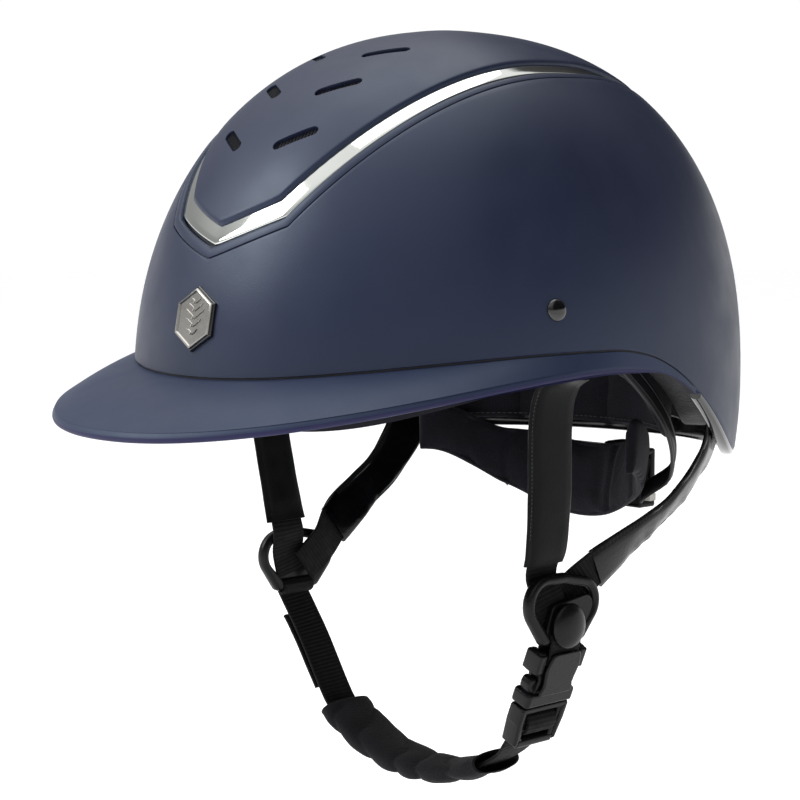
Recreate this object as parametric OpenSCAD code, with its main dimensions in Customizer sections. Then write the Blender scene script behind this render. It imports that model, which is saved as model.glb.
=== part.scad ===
// Riding helmet: a peaked shell with a crown panel, a padded liner, a rear fit cradle with a dial,
// and a three-point chin harness with a side-release buckle.
// Millimetres. +Z is up, the wearer faces -Y, and the wearer's left side is +X.
// The origin is the middle of the head opening, level with the widest part of the shell.

/* [Shell] */
// Half of the shell's width at its widest level
shell_half_width = 104; // [102:0.5:106]
// Reach of the shell in front of the origin
shell_front = 124; // [122:0.5:126]
// Reach of the shell behind the origin
shell_rear = 129; // [127:0.5:131]
// Height of the crown above the origin
shell_height = 136.5; // [135:0.5:138]
// Wall of the outer shell
shell_wall = 3; // [2.6:0.1:3]

/* [Crown panel] */
// Thickness of the crown panel
panel_wall = 2; // [1.8:0.1:2]
// Depth of the channel around the crown panel
channel_depth = 3.2; // [3.2:0.1:3.5]
// Length of a vent slot
vent_length = 18.5; // [16:0.5:20]
// Width of a vent slot
vent_width = 4.4; // [4:0.1:5]

/* [Peak] */
// Reach of the peak in front of the shell
peak_reach = 39; // [36:1:42]
// Thickness of the peak at its lip
peak_lip = 3.6; // [3:0.1:4]
// Height of the joint line above the origin, at the front
seam_front = 7.5; // [6:0.5:9]
// Height of the joint line above the origin, over the ears
seam_ear = 17; // [16:0.5:18]
// Depth of the shell's rear rim below the origin
rim_rear = 28; // [26:0.5:30]

/* [Liner] */
// Distance from the shell's outer face to the impact liner
liner_outer = 7; // [6.8:0.1:7.2]
// Distance from the shell's outer face to the inside of the impact liner
liner_inner = 22; // [21:0.1:22]
// Thickness of the comfort headband
headband_thickness = 4.2; // [3.5:0.1:4.4]

/* [Fit cradle] */
// Height of the cradle's temple pins above the origin
temple_height = 22; // [21:0.5:23]
// Pitch radius of the dial's pinion
pinion_pitch_radius = 5; // [5]
// Radius of the dial knob
knob_radius = 14; // [12:0.5:15]

/* [Harness] */
// Width of the webbing
webbing_width = 16; // [14:0.5:16]
// Thickness of the webbing
webbing_thickness = 1.5; // [1.2:0.1:1.6]
// Width of the smooth strap sleeves
sleeve_width = 20.5; // [20:0.5:22]
// Distance of the strap dividers from the middle plane
divider_side = 76; // [76]
// Radius of the arc that the chin strap hangs in
chin_radius = 82; // [82]
// Width of the buckle
buckle_width = 25; // [24:0.5:26]

/* [Hidden] */
$fn = 48;

// Colours
navy = "#2c3350";
navy_peak = "#333b62";
soft_black = "#1b1c20";
gloss_black = "#0c0c0e";
webbing_black = "#242529";
silver = "#c9ccd0";
gunmetal = "#8a8a86";

// Shape of the dome: exponents of its plan curve and of its front, side and rear profiles
plan_exponent = 2.2;
front_exponent = 2.02;
side_exponent = 2.25;
rear_exponent = 2.43;
// How far the wall draws in 50 mm below the origin, as a part of its reach
front_tuck = 0.02;
side_tuck = 0.042;
rear_tuck = 0.067;
degrees_per_mm = 180 / PI / shell_height;

// Crown panel: heights are angles up the dome
brow_angle = 108;
panel_edge = [26.7, 14, 31, 64, 36];
channel_edge = [23.2, 17, 28, 60.2, 31];
channel_liner_off = 2.7;
trim_off = 1.5;
vent_spots = [[11.5, 42.7], [15.5, 54.8], [24, 66.5]];
vent_slant = [0.837, 0.435, 0.33];

// Joint line between shell and peak
seam_gap = 0.75;
peak_end = 103;
trim_start = 105;
lip_front_z = -9.2;
lip_ear_z = 11.4;
rim_front_z = -9;
rim_ear_z = 10;

// Fittings on the shell
badge_angle = 11.9;
pin_angle = 73.1;
pin_height = 32;
pin_shank_radius = 2;

// Cradle
disc_x = 78.5;
arm_off = 22.8;
arm_wall = 1.3;
arm_width = 8;
cradle_off = 30.7;
cradle_wall = 1.8;
pad_off = 32.8;
pad_thickness = 5.5;
dial_z = -46;
housing_y = 94.7;

// Harness
strap_level = -12;
chin_level = -8;
divider_top = -66.4;
divider_bar_z = -91;
divider_bar_radius = 1.6;
chin_centre_z = -73;
chin_start = -130;
chin_end = -53;
buckle_x = 66;
buckle_z = -116;
buckle_lean = 22;
prong_length = 11;
prong_y = 8.6;
fit_gap = 0.05;

// Directions around the helmet, with extra ones at the corners of the crown panel
half_turn = concat([0, 5, 10, 14, 17], [for (a = [20:5:100]) a], [peak_end], [for (a = [trim_start:5:175]) a]);
columns = concat(half_turn, [180], [for (i = [len(half_turn) - 1:-1:1]) -half_turn[i]]);
front_half = [for (a = half_turn) if (a <= peak_end) a];
front_columns = concat([for (i = [len(front_half) - 1:-1:1]) -front_half[i]], front_half);
rear_columns = [for (a = concat(half_turn, [180], [for (i = [len(half_turn) - 1:-1:1]) 360 - half_turn[i]]))
    if (a >= trim_start && a <= 360 - trim_start) a];

// ---- Curves ----

function clamp01(t) = min(1, max(0, t));
function smooth(t) = let (u = clamp01(t)) u * u * (3 - 2 * u);
function mix(a, b, t) = a + (b - a) * t;
function signed_power(x, p) = (x < 0 ? -1 : 1) * pow(abs(x), p);
function unit(v) = v / norm(v);

// Mixes a front, a side and a rear value by the direction around the helmet.
function by_side(phi, front, side, rear) =
    pow(sin(phi), 2) * side + pow(cos(phi), 2) * (cos(phi) > 0 ? front : rear);

// Share of the full reach that is left at height z.
function taper(phi, z, off) =
    let (e = by_side(phi, front_exponent, side_exponent, rear_exponent))
    z < 0 ? 1 - by_side(phi, front_tuck, side_tuck, rear_tuck) * pow(z / 50, 2)
          : pow(1 - pow(clamp01(z / (shell_height - off)), e), 1 / e);

// Point on the dome, in direction phi, at height z, off millimetres inside the shell's outer face.
function dome_z(phi, z, off) =
    let (r = taper(phi, z, off),
         reach = (cos(phi) > 0 ? shell_front : shell_rear) - off)
    [(shell_half_width - off) * signed_power(sin(phi), 2 / plan_exponent) * r,
     -reach * signed_power(cos(phi), 2 / plan_exponent) * r,
     z];

// The same, with the height as an angle up the dome. A negative angle is a depth below the origin.
function dome(phi, a, off) =
    dome_z(phi, a < 0 ? a / degrees_per_mm : (shell_height - off) * sin(a), off);
function angle_of(z, off) = z < 0 ? z * degrees_per_mm : asin(clamp01(z / (shell_height - off)));

// Outward direction of the dome's face.
function dome_normal(phi, a) =
    let (du = dome(phi + 1, a, 0) - dome(phi - 1, a, 0),
         dv = dome(phi, a + 1, 0) - dome(phi, a - 1, 0))
    unit(cross(du, dv));

// Height of the crown panel's edge: a V at the front, a long curve at the sides and a V at the rear.
function edge_angle(phi, e) =
    let (p = abs(phi))
    p < e[1] ? mix(e[0], e[2], p / e[1])
    : p < brow_angle ? mix(e[2], e[3], 1 - pow(1 - (p - e[1]) / (brow_angle - e[1]), 2.5))
    : mix(e[3], e[4], pow((p - brow_angle) / (180 - brow_angle), 1.8));

// Heights of the joint line, the lower rim, and the liner's and the headband's lower edges.
function seam_z(phi) =
    let (p = abs(phi))
    p < 85 ? mix(seam_front, seam_ear, smooth(p / 82)) : mix(seam_ear, -rim_rear, smooth((p - 85) / 45));
function rim_z(phi) =
    min(mix(rim_front_z, rim_ear_z, smooth((abs(phi) - 25) / 60)), seam_z(phi) - 2.4);
function liner_z(phi) =
    let (p = abs(phi))
    p < 90 ? mix(-4, 14, smooth((p - 25) / 60)) : mix(14, -18, smooth((p - 90) / 45));
function headband_z(phi) =
    let (p = abs(phi))
    p < 90 ? mix(-8, 9, smooth((p - 25) / 60)) : mix(9, -24, smooth((p - 90) / 45));
function arm_z(phi) = temple_height - 68 * pow((abs(phi) - 90) / 55, 0.9);

// Peak: how far it stands out, and the height of its lip, which follows the joint line behind the ear.
function peak_out(phi) =
    let (c = max(0, cos(0.95 * phi)))
    max(0.3, (peak_reach - 1.7) * pow(c, 2.4) + 1.7 * sqrt(c));
function peak_lip_z(phi) =
    min(mix(lip_front_z, lip_ear_z, smooth(abs(phi) / 86)),
        seam_z(phi) - seam_gap - mix(4.9, 1.4, smooth((abs(phi) - 85) / 18)));

// ---- Lofted solids ----

// Solid through a list of rings, each a list of points that runs up the outside and back down the inside.
module loft(rings, closed = false) {
    m = len(rings);
    n = len(rings[0]);
    last = closed ? m - 1 : m - 2;
    sides = [for (j = [0:last]) for (i = [0:n - 1])
        let (a = j * n + i, b = j * n + (i + 1) % n, c = ((j + 1) % m) * n + (i + 1) % n, d = ((j + 1) % m) * n + i)
        each [[a, b, c], [a, c, d]]];
    ends = closed ? [] : [for (i = [0:n / 2 - 2])
        let (a = i, b = i + 1, c = n - 2 - i, d = n - 1 - i, t = (m - 1) * n)
        each [[a, c, b], [a, d, c], [t + a, t + b, t + c], [t + a, t + c, t + d]]];
    polyhedron(points = [for (r = rings) each r], faces = concat(sides, ends), convexity = 8);
}

// Closed cap: every direction has a list of points up the outside and one up the inside, below the two tops.
module cap(outside, inside, top_out, top_in) {
    m = len(outside);
    k = len(outside[0]);
    h = len(inside[0]);
    base = m * k;
    top = base + m * h;
    outer_faces = [for (j = [0:m - 1]) let (q = (j + 1) % m) each concat(
        [for (i = [0:k - 2]) each [[j * k + i, q * k + i + 1, q * k + i], [j * k + i, j * k + i + 1, q * k + i + 1]]],
        [[j * k + k - 1, top, q * k + k - 1]])];
    inner_faces = [for (j = [0:m - 1]) let (q = (j + 1) % m) each concat(
        [for (i = [0:h - 2]) each [[base + j * h + i, base + q * h + i, base + q * h + i + 1],
            [base + j * h + i, base + q * h + i + 1, base + j * h + i + 1]]],
        [[base + j * h + h - 1, base + q * h + h - 1, top + 1]])];
    rim_faces = [for (j = [0:m - 1]) let (q = (j + 1) % m)
        each [[j * k, q * k, base + q * h], [j * k, base + q * h, base + j * h]]];
    polyhedron(points = concat([for (r = outside) each r], [for (r = inside) each r], [top_out, top_in]),
        faces = concat(outer_faces, inner_faces, rim_faces), convexity = 8);
}

// Ring of a band between two heights and two depths.
function band_ring(phi, low, high, off_out, off_in, rows) = concat(
    [for (i = [0:rows]) dome(phi, mix(low, high, i / rows), off_out)],
    [for (i = [rows:-1:0]) dome(phi, mix(low, high, i / rows), off_in)]);

// Strap: a flat strip through points, each with the direction of its width.
module strip(route, width, thickness) {
    n = len(route);
    loft([for (i = [0:n - 1])
        let (p = route[i][0],
             along = unit(route[min(n - 1, i + 1)][0] - route[max(0, i - 1)][0]),
             face = unit(cross(along, route[i][1])),
             w = unit(cross(face, along)) * width / 2,
             t = face * thickness / 2)
        [p - w - t, p - w + t, p + w + t, p + w - t]]);
}

module both_sides() {
    children();
    mirror([1, 0, 0]) children();
}

// Places a shape on the dome's face, with its Z axis pointing out and its X axis along a direction.
module on_dome(phi, a, along = [1, 0, 0]) {
    n = dome_normal(phi, a);
    lean = acos(n[2]);
    turn = atan2(n[1], n[0]);
    e1 = [cos(lean) * cos(turn), cos(lean) * sin(turn), -sin(lean)];
    e2 = [-sin(turn), cos(turn), 0];
    translate(dome(phi, a, 0))
        rotate([0, lean, turn])
            rotate([0, 0, atan2(along * e2, along * e1)])
                children();
}

// Bar with round ends, lying along X, from z = low to z = high.
module slot_bar(length, width, low, high) {
    translate([0, 0, low]) {
        translate([-(length - width) / 2, -width / 2, 0]) cube([length - width, width, high - low]);
        for (s = [-1, 1]) translate([s * (length - width) / 2, 0, 0]) cylinder(d = width, h = high - low);
    }
}

module vent_cuts(low, high, length, width) {
    both_sides()
        for (v = vent_spots) on_dome(v[0], v[1], vent_slant) slot_bar(length, width, low, high);
}

// ---- Shell ----

module outer_shell() {
    function out_ring(phi) =
        let (low = angle_of(seam_z(phi) + seam_gap, 0), high = edge_angle(phi, channel_edge))
        concat([for (i = [0:9]) dome(phi, mix(low, high, i / 9), 0)],
            [for (i = [0:3]) dome(phi, mix(high, 86, i / 3.4), channel_depth)]);
    function in_ring(phi) =
        let (low = angle_of(seam_z(phi) + seam_gap, shell_wall), high = edge_angle(phi, channel_edge) - 3)
        concat([for (i = [0:6]) dome(phi, mix(low, high, i / 6), shell_wall)],
            [for (i = [0:3]) dome(phi, mix(high + 2, 86, i / 3.4), channel_depth + 2)]);
    color(navy) difference() {
        cap([for (phi = columns) out_ring(phi)], [for (phi = columns) in_ring(phi)],
            [0, 0, shell_height - channel_depth], [0, 0, shell_height - channel_depth - 2]);
        vent_cuts(-8, 1, vent_length, vent_width);
        both_sides() pin_place() translate([0, 0, -8]) cylinder(r = pin_shank_radius + fit_gap, h = 10);
    }
}

module crown_panel() {
    function ring(phi, off, inset) =
        let (low = edge_angle(phi, panel_edge) + inset)
        [for (i = [0:6]) dome(phi, mix(low, 87, i / 6.6), off)];
    color(navy) difference() {
        cap([for (phi = columns) ring(phi, 0, 0)], [for (phi = columns) ring(phi, panel_wall, 0.2)],
            [0, 0, shell_height], [0, 0, shell_height - panel_wall]);
        vent_cuts(-8, 3, vent_length, vent_width);
    }
}

module channel_liner() {
    color(gloss_black)
        loft([for (phi = columns) band_ring(phi, edge_angle(phi, channel_edge) + 0.2,
            edge_angle(phi, panel_edge) + 1.5, channel_liner_off, channel_depth - 0.05, 2)], true);
}

module chrome_trim() {
    color(silver)
        loft([for (phi = columns) band_ring(phi, edge_angle(phi, channel_edge) + 0.5,
            edge_angle(phi, panel_edge) - 0.15, trim_off, channel_liner_off - 0.2, 2)], true);
}

// Grilles that fill the slots in the shell, under the slots in the panel.
module vent_mesh() {
    rim = 0.8;
    bars = 9;
    thickness = 0.6;
    module outline(inset) {
        slot_bar(vent_length - 2 * inset, vent_width - 2 * inset, -4.9, -4.9 + thickness);
    }
    color(gloss_black) both_sides() for (v = vent_spots) on_dome(v[0], v[1], vent_slant) {
        difference() {
            outline(fit_gap);
            slot_bar(vent_length - 2 * rim, vent_width - 2 * rim, -6, 0);
        }
        for (i = [1:bars])
            translate([(i / (bars + 1) - 0.5) * (vent_length - 2 * rim) - 0.3, rim / 2 - vent_width / 2, -4.9])
                cube([0.6, vent_width - rim, thickness]);
    }
}

module peak() {
    function brim(phi, t, drop) =
        let (root = dome_z(phi, seam_z(phi) - seam_gap, 0),
             out = unit([root[0], root[1], 0]) * peak_out(phi) * t,
             sag = (root[2] - peak_lip_z(phi)) * t - 1.5 * sin(180 * t) * clamp01(peak_out(phi) / 30))
        root + out - [0, 0, sag + drop];
    function ring(phi) =
        let (top = seam_z(phi) - seam_gap,
             bottom = rim_z(phi),
             wall = peak_lip * clamp01((top - bottom) / 8),
             steps = [0.04, 0.2, 0.4, 0.6, 0.8, 1])
        concat([dome_z(phi, bottom, shell_wall), dome_z(phi, bottom, 0)],
            [for (t = steps) brim(phi, t, wall)],
            [for (i = [len(steps) - 1:-1:0]) brim(phi, steps[i], 0)],
            [dome_z(phi, top, 0), dome_z(phi, top, shell_wall)]);
    color(navy_peak) loft([for (a = front_columns) ring(a)]);
}

// Thin seal in the joint line between the shell and the peak.
module peak_gasket() {
    half = seam_gap - 0.05;
    color(gloss_black) loft([for (a = front_columns)
        [dome_z(a, seam_z(a) - half, 0.6), dome_z(a, seam_z(a) + half, 0.6),
            dome_z(a, seam_z(a) + half, shell_wall), dome_z(a, seam_z(a) - half, shell_wall)]]);
}

module badge_place() {
    on_dome(0, badge_angle, [1, 0, 0]) children();
}

module badge_base() {
    color(gloss_black) badge_place() translate([0, 0, 0.05])
        rotate([0, 0, 90]) cylinder(r = 11.8, h = 1.6, $fn = 6);
}

// Six-sided plate with a raised rim and a plain pattern of slanting ribs.
module badge_plate() {
    plate_radius = 10.8;
    rim = 1;
    color(gunmetal) badge_place() translate([0, 0, 1.67]) {
        rotate([0, 0, 90]) cylinder(r = plate_radius, h = 0.7, $fn = 6);
        difference() {
            rotate([0, 0, 90]) cylinder(r = plate_radius, h = 1.4, $fn = 6);
            rotate([0, 0, 90]) translate([0, 0, -1]) cylinder(r = plate_radius - rim, h = 4, $fn = 6);
        }
        for (s = [-1, 1]) for (i = [-1:1])
            translate([s * 3.6, i * 4.2, 0]) rotate([0, 0, s * 35]) translate([-2.6, -0.6, 0]) cube([5.2, 1.2, 1.2]);
    }
}

module pin_place() {
    on_dome(pin_angle, angle_of(pin_height, 0), [0, 1, 0]) children();
}

// Domed rivet through the shell, which also holds a front strap's anchor plate.
module side_pin() {
    color(soft_black) pin_place() {
        intersection() {
            translate([0, 0, -4.6]) sphere(r = 6.1);
            cylinder(r = 3.9, h = 3);
        }
        translate([0, 0, -shell_wall - 3]) cylinder(r = pin_shank_radius, h = shell_wall + 3.2);
    }
}

module side_pin_left() { side_pin(); }
module side_pin_right() { mirror([1, 0, 0]) side_pin(); }

// Edging of the shell's rear rim: a lip under the edge and a smooth skirt up the inside.
module rear_rim_trim() {
    lip = 2.6;
    skirt = 14;
    function ring(phi) =
        let (edge = seam_z(phi) + seam_gap)
        [dome_z(phi, edge - lip, 0.2), dome_z(phi, edge - 0.1, 0.2), dome_z(phi, edge - 0.1, shell_wall + 0.4),
            dome_z(phi, edge + skirt, shell_wall + 0.9), dome_z(phi, edge + skirt, shell_wall + 2),
            dome_z(phi, edge, shell_wall + 1.5), dome_z(phi, edge - 1, shell_wall + 1.7),
            dome_z(phi, edge - lip, shell_wall + 1.5)];
    color(gloss_black) loft([for (a = rear_columns) ring(a > 180 ? a - 360 : a)]);
}

// ---- Liner ----

module impact_liner() {
    function ring(phi, off, rows) =
        let (low = angle_of(liner_z(phi), off))
        [for (i = [0:rows - 1]) dome(phi, mix(low, 90, i / rows), off)];
    color(soft_black) difference() {
        cap([for (phi = columns) ring(phi, liner_outer, 9)], [for (phi = columns) ring(phi, liner_inner, 9)],
            [0, 0, shell_height - liner_outer], [0, 0, shell_height - liner_inner]);
        both_sides() translate([70, 0, temple_height]) rotate([0, 90, 0]) cylinder(r = 3.05, h = 18.5);
    }
}

module comfort_headband() {
    outer_off = 25.8;
    band_height = 30;
    color(soft_black)
        loft([for (phi = columns) band_ring(phi, angle_of(headband_z(phi), outer_off),
            angle_of(headband_z(phi) + band_height, outer_off), outer_off, outer_off + headband_thickness, 4)], true);
}

module crown_pad() {
    pad_angles = [for (a = [0:15:345]) a > 180 ? a - 360 : a];
    gap = 1;
    function ring(phi, off) = [for (a = [60, 66, 72, 78, 84]) dome(phi, a, off)];
    color(soft_black) cap([for (a = pad_angles) ring(a, liner_inner + gap)],
        [for (a = pad_angles) ring(a, liner_inner + gap + 5)],
        [0, 0, shell_height - liner_inner - gap], [0, 0, shell_height - liner_inner - gap - 5]);
}

// Four plates that hold the strap ends, in the gap between the shell and the liner.
module strap_anchors() {
    plate = 1.4;
    depth = shell_wall + 1.8 + plate;
    color(silver) both_sides() {
        difference() {
            pin_place() translate([-5, -8, -depth]) cube([24, 13, plate]);
            pin_place() translate([0, 0, -8]) cylinder(r = pin_shank_radius + fit_gap, h = 10);
        }
        on_dome(120, 7) translate([-9, -8, -depth]) cube([18, 16, plate]);
    }
}

// ---- Fit cradle ----

module temple_pins() {
    color(gloss_black) both_sides() translate([0, 0, temple_height]) rotate([0, 90, 0]) {
        translate([0, 0, disc_x - 0.75]) cylinder(r = 4.4, h = 0.65);
        translate([0, 0, disc_x - 0.75]) cylinder(r = 3, h = 9);
    }
}

module cradle_arm() {
    function ring(phi) =
        let (off = mix(arm_off, cradle_off, smooth((phi - 138) / 10)), z = arm_z(phi))
        [dome_z(phi, z - arm_width / 2, off), dome_z(phi, z + arm_width / 2, off),
            dome_z(phi, z + arm_width / 2, off + arm_wall), dome_z(phi, z - arm_width / 2, off + arm_wall)];
    color(soft_black) difference() {
        union() {
            loft([for (phi = [92:4:148]) ring(phi)]);
            translate([disc_x, 0, temple_height]) rotate([0, 90, 0]) cylinder(r = 6.4, h = 1.5);
        }
        translate([disc_x - 3, 0, temple_height]) rotate([0, 90, 0]) cylinder(r = 3 + fit_gap, h = 8);
    }
}

module cradle_arm_left() { cradle_arm(); }
module cradle_arm_right() { mirror([1, 0, 0]) cradle_arm(); }

// Plastic frame at the nape, between the two arms.
module nape_cradle() {
    function ring(phi) =
        let (fall = 8 * smooth((phi - 150) / 30), half = mix(5, 9.5, smooth((phi - 150) / 20)), middle = -40 - fall)
        [for (p = [[-half, 0], [half, 0], [half, cradle_wall], [-half, cradle_wall]])
            dome_z(phi, middle + p[0], cradle_off + p[1])];
    color(gloss_black) difference() {
        loft([for (a = [148:4:212]) let (r = ring(a > 180 ? 360 - a : a))
            a > 180 ? [for (p = r) [-p[0], p[1], p[2]]] : r]);
        translate([0, 80, dial_z]) rotate([-90, 0, 0]) cylinder(r = 2.5, h = 30);
    }
}

// Soft pad on the inside of the cradle. Its ends rise along the arms.
module nape_pad() {
    function ring(phi) =
        let (rise = 13 * (1 - smooth((phi - 120) / 28)), fall = 9 * smooth((phi - 138) / 42),
             half = mix(8, 14.5, smooth((phi - 136) / 34)), middle = -38.5 + rise - fall,
             off = pad_off + 1.5 * (1 - smooth((phi - 124) / 20)))
        concat([for (h = [-1, -0.4, 0.4, 1]) dome_z(phi, middle + half * h, off)],
            [for (h = [1, 0.4, -0.4, -1]) dome_z(phi, middle + half * h, off + pad_thickness)]);
    color(soft_black) loft([for (a = [124:4:236]) let (r = ring(a > 180 ? 360 - a : a))
        a > 180 ? [for (p = r) [-p[0], p[1], p[2]]] : r]);
}

// Turns a shape so that its Z axis points to the rear, centred on the dial's axis.
module dial_axis(y) {
    translate([0, y, dial_z]) rotate([-90, 0, 0]) children();
}

// Box that carries the dial's shaft and lets the two racks slide through it.
module dial_housing() {
    half = 24;
    color(soft_black) difference() {
        translate([-half, housing_y, dial_z - 12.5]) cube([2 * half, 10, 25]);
        translate([-half - 1, housing_y + 2, dial_z - 9.8]) cube([2 * half + 2, 5, 19.6]);
        dial_axis(housing_y + 6) cylinder(r = 3 + fit_gap, h = 6);
        dial_axis(housing_y - 1) cylinder(r = 2 + fit_gap, h = 4);
    }
}

module dial_knob() {
    grips = 18;
    color(gloss_black) {
        difference() {
            dial_axis(housing_y + 10.4) cylinder(r = knob_radius, h = 8);
            for (i = [0:grips - 1])
                translate([0, housing_y + 10, dial_z]) rotate([0, i * 360 / grips, 0])
                    translate([knob_radius + 0.6, 0, 0]) rotate([-90, 0, 0]) cylinder(r = 1.4, h = 9);
        }
        dial_axis(housing_y + 7.2) cylinder(r = 3, h = 4);
    }
}

// Ten-tooth gear on the end of the dial's shaft.
module dial_pinion() {
    teeth = 10;
    color(silver) {
        dial_axis(housing_y + 2.3) cylinder(r = 3.9, h = 4.2);
        dial_axis(housing_y + 0.3) cylinder(r = 2, h = 3);
        dial_axis(housing_y + 6) cylinder(r = 2.4, h = 1.15);
        for (i = [0:teeth - 1])
            dial_axis(housing_y + 2.3) rotate([0, 0, 90 + i * 360 / teeth]) linear_extrude(4.2)
                polygon([[3.5, -0.95], [pinion_pitch_radius + 0.95, -0.35], [pinion_pitch_radius + 0.95, 0.35],
                    [3.5, 0.95]]);
    }
}

// Toothed strip. It lies beyond the pinion from the middle and reaches out of one side of the housing.
module rack() {
    pitch = 2 * PI * pinion_pitch_radius / 10;
    first_x = -11;
    tip = pinion_pitch_radius - 0.8;
    base = pinion_pitch_radius + 1.3;
    color(silver) translate([0, housing_y + 2.5, dial_z]) {
        translate([first_x, 0, base]) cube([38, 4, 3]);
        for (i = [-3.5:3.5])
            translate([i * pitch, 4, 0]) rotate([90, 0, 0]) linear_extrude(4)
                polygon([[-0.75, base + 0.1], [-0.35, tip], [0.35, tip], [0.75, base + 0.1]]);
    }
}

module rack_left() { translate([0, 0, 2 * dial_z]) mirror([0, 0, 1]) rack(); }
module rack_right() { mirror([1, 0, 0]) rack(); }

// ---- Harness ----

across = [0, 1, 0];
along_slot = [0, 0.62, -0.79];
front_route = [[[96.8, -25, 20], [0.2, 1, 0]], [[96.8, -24.6, 12.5], [0.2, 1, 0]], [[94.5, -24, 8], [0.1, 1, 0]],
    [[88.5, -24, 4], [0.1, 1, 0]], [[83.6, -23.5, -8], [0.1, 1, 0]], [[78.2, -21, -36], [0.1, 1, 0]],
    [[75.2, -19.2, -56], [0.05, 1, 0]], [[72.6, -18.9, -65.5], across], [[72.4, -18.9, -71.9], across],
    [[79.4, -18.9, -71.9], across]];
rear_route = [[[85.8, 65.4, 2], [-0.4, 0.92, 0]], [[85.6, 65, -13], [-0.4, 0.92, 0]],
    [[84, 61, -28], [-0.3, 0.85, -0.35]], [[81.6, 45, -45], [-0.1, 0.7, -0.7]], [[79.6, 31, -53.5], along_slot],
    [[76.6, 14, -62.5], along_slot], [[72.6, 2, -72.5], along_slot], [[72.4, -2.6, -76.8], along_slot],
    [[79.4, -2.6, -76.8], along_slot]];

function part_of(route, first, last) = [for (i = [first:last]) route[i]];

module front_strap() { color(webbing_black) strip(front_route, webbing_width, webbing_thickness); }
module front_strap_left() { front_strap(); }
module front_strap_right() { mirror([1, 0, 0]) front_strap(); }

// The same route, a little longer at both ends.
function longer(route, d) =
    let (n = len(route) - 1)
    [for (i = [0:n]) [route[i][0] + (i == 0 ? d * unit(route[0][0] - route[1][0])
        : i == n ? d * unit(route[n][0] - route[n - 1][0]) : [0, 0, 0]), route[i][1]]];

module sleeve(route) {
    color(gloss_black) difference() {
        strip(route, sleeve_width, 3.2);
        strip(longer(route, 1), webbing_width + 0.4, webbing_thickness + 0.3);
    }
}

module front_sleeve_left() { sleeve(part_of(front_route, 3, 6)); }
module front_sleeve_right() { mirror([1, 0, 0]) front_sleeve_left(); }

module rear_strap() { color(webbing_black) strip(rear_route, webbing_width, webbing_thickness); }
module rear_strap_left() { rear_strap(); }
module rear_strap_right() { mirror([1, 0, 0]) rear_strap(); }
module rear_sleeve_left() { sleeve(part_of(rear_route, 2, 5)); }
module rear_sleeve_right() { mirror([1, 0, 0]) rear_sleeve_left(); }

// Sets a flat outline, drawn with Y across and Z up, upright at the side of the face.
module side_plate(x, thickness) {
    translate([x - thickness / 2, 0, 0]) rotate([90, 0, 90]) linear_extrude(thickness) children();
}

// Ring that joins a front strap, a rear strap and the chin strap.
module divider() {
    slot_height = 3.4;
    window = webbing_width + 1.6;
    module slot_block() {
        translate([0, -webbing_width / 2 - 0.5, -slot_height / 2]) cube([10, webbing_width + 1, slot_height]);
    }
    color(gloss_black) {
        difference() {
            side_plate(divider_side, 4) hull() {
                translate([-25.5, divider_top - 5.8]) circle(r = 5.8);
                translate([-10, divider_top - 6]) circle(r = 6);
                translate([2, divider_top - 12.3]) circle(r = 6);
                translate([strap_level - 9.5, divider_bar_z + 1.5]) circle(r = 3);
                translate([strap_level + 9.5, divider_bar_z + 1.5]) circle(r = 3);
            }
            translate([divider_side - 5, -18.9, divider_top - 5.5]) slot_block();
            translate([divider_side - 5, -2.6, divider_top - 10.4]) rotate([-52, 0, 0]) slot_block();
            translate([divider_side - 5, strap_level - window / 2, divider_bar_z - 6]) cube([10, window, 12]);
        }
        translate([divider_side, strap_level - window / 2 - 1, divider_bar_z]) rotate([-90, 0, 0])
            cylinder(r = divider_bar_radius, h = window + 2);
    }
}

module divider_left() { divider(); }
module divider_right() { mirror([1, 0, 0]) divider(); }

// Domed cap over the outer face of a divider. The gap is its distance from the face, bridged by a stem.
module divider_cap(radius, gap, height, stem_height) {
    color(gloss_black) {
        translate([divider_side + 2 + gap, strap_level, height]) rotate([0, 90, 0]) intersection() {
            cylinder(r = radius, h = 4);
            translate([0, 0, -9.9]) sphere(r = 13.1);
        }
        translate([divider_side + 2, strap_level, stem_height]) rotate([0, 90, 0]) cylinder(r = 2.5, h = gap + 0.3);
    }
}

// The left cap is the larger one and hangs over the joint with the buckle.
module divider_cap_left() { divider_cap(8.4, 1.9, -85.7, -81.5); }
module divider_cap_right() { mirror([1, 0, 0]) divider_cap(4.8, 0.4, -79.4, -79.4); }

// Places a shape at the buckle's joint, with +Z along the buckle to the divider and +X away from the face.
module at_buckle() {
    translate([buckle_x, strap_level, buckle_z]) rotate([0, buckle_lean, 0]) children();
}

// Loop of webbing between the left divider and the buckle.
module buckle_link() {
    inner = 2.1;
    module loop_outline(r) {
        hull() {
            translate([divider_side, divider_bar_z]) circle(r = r);
            translate([divider_side - 1.6, divider_bar_z - 6]) circle(r = r);
        }
    }
    color(webbing_black) translate([0, strap_level + webbing_width / 2, 0]) rotate([90, 0, 0])
        linear_extrude(webbing_width) difference() {
            loop_outline(inner + 1.4);
            loop_outline(inner);
        }
}

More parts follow.
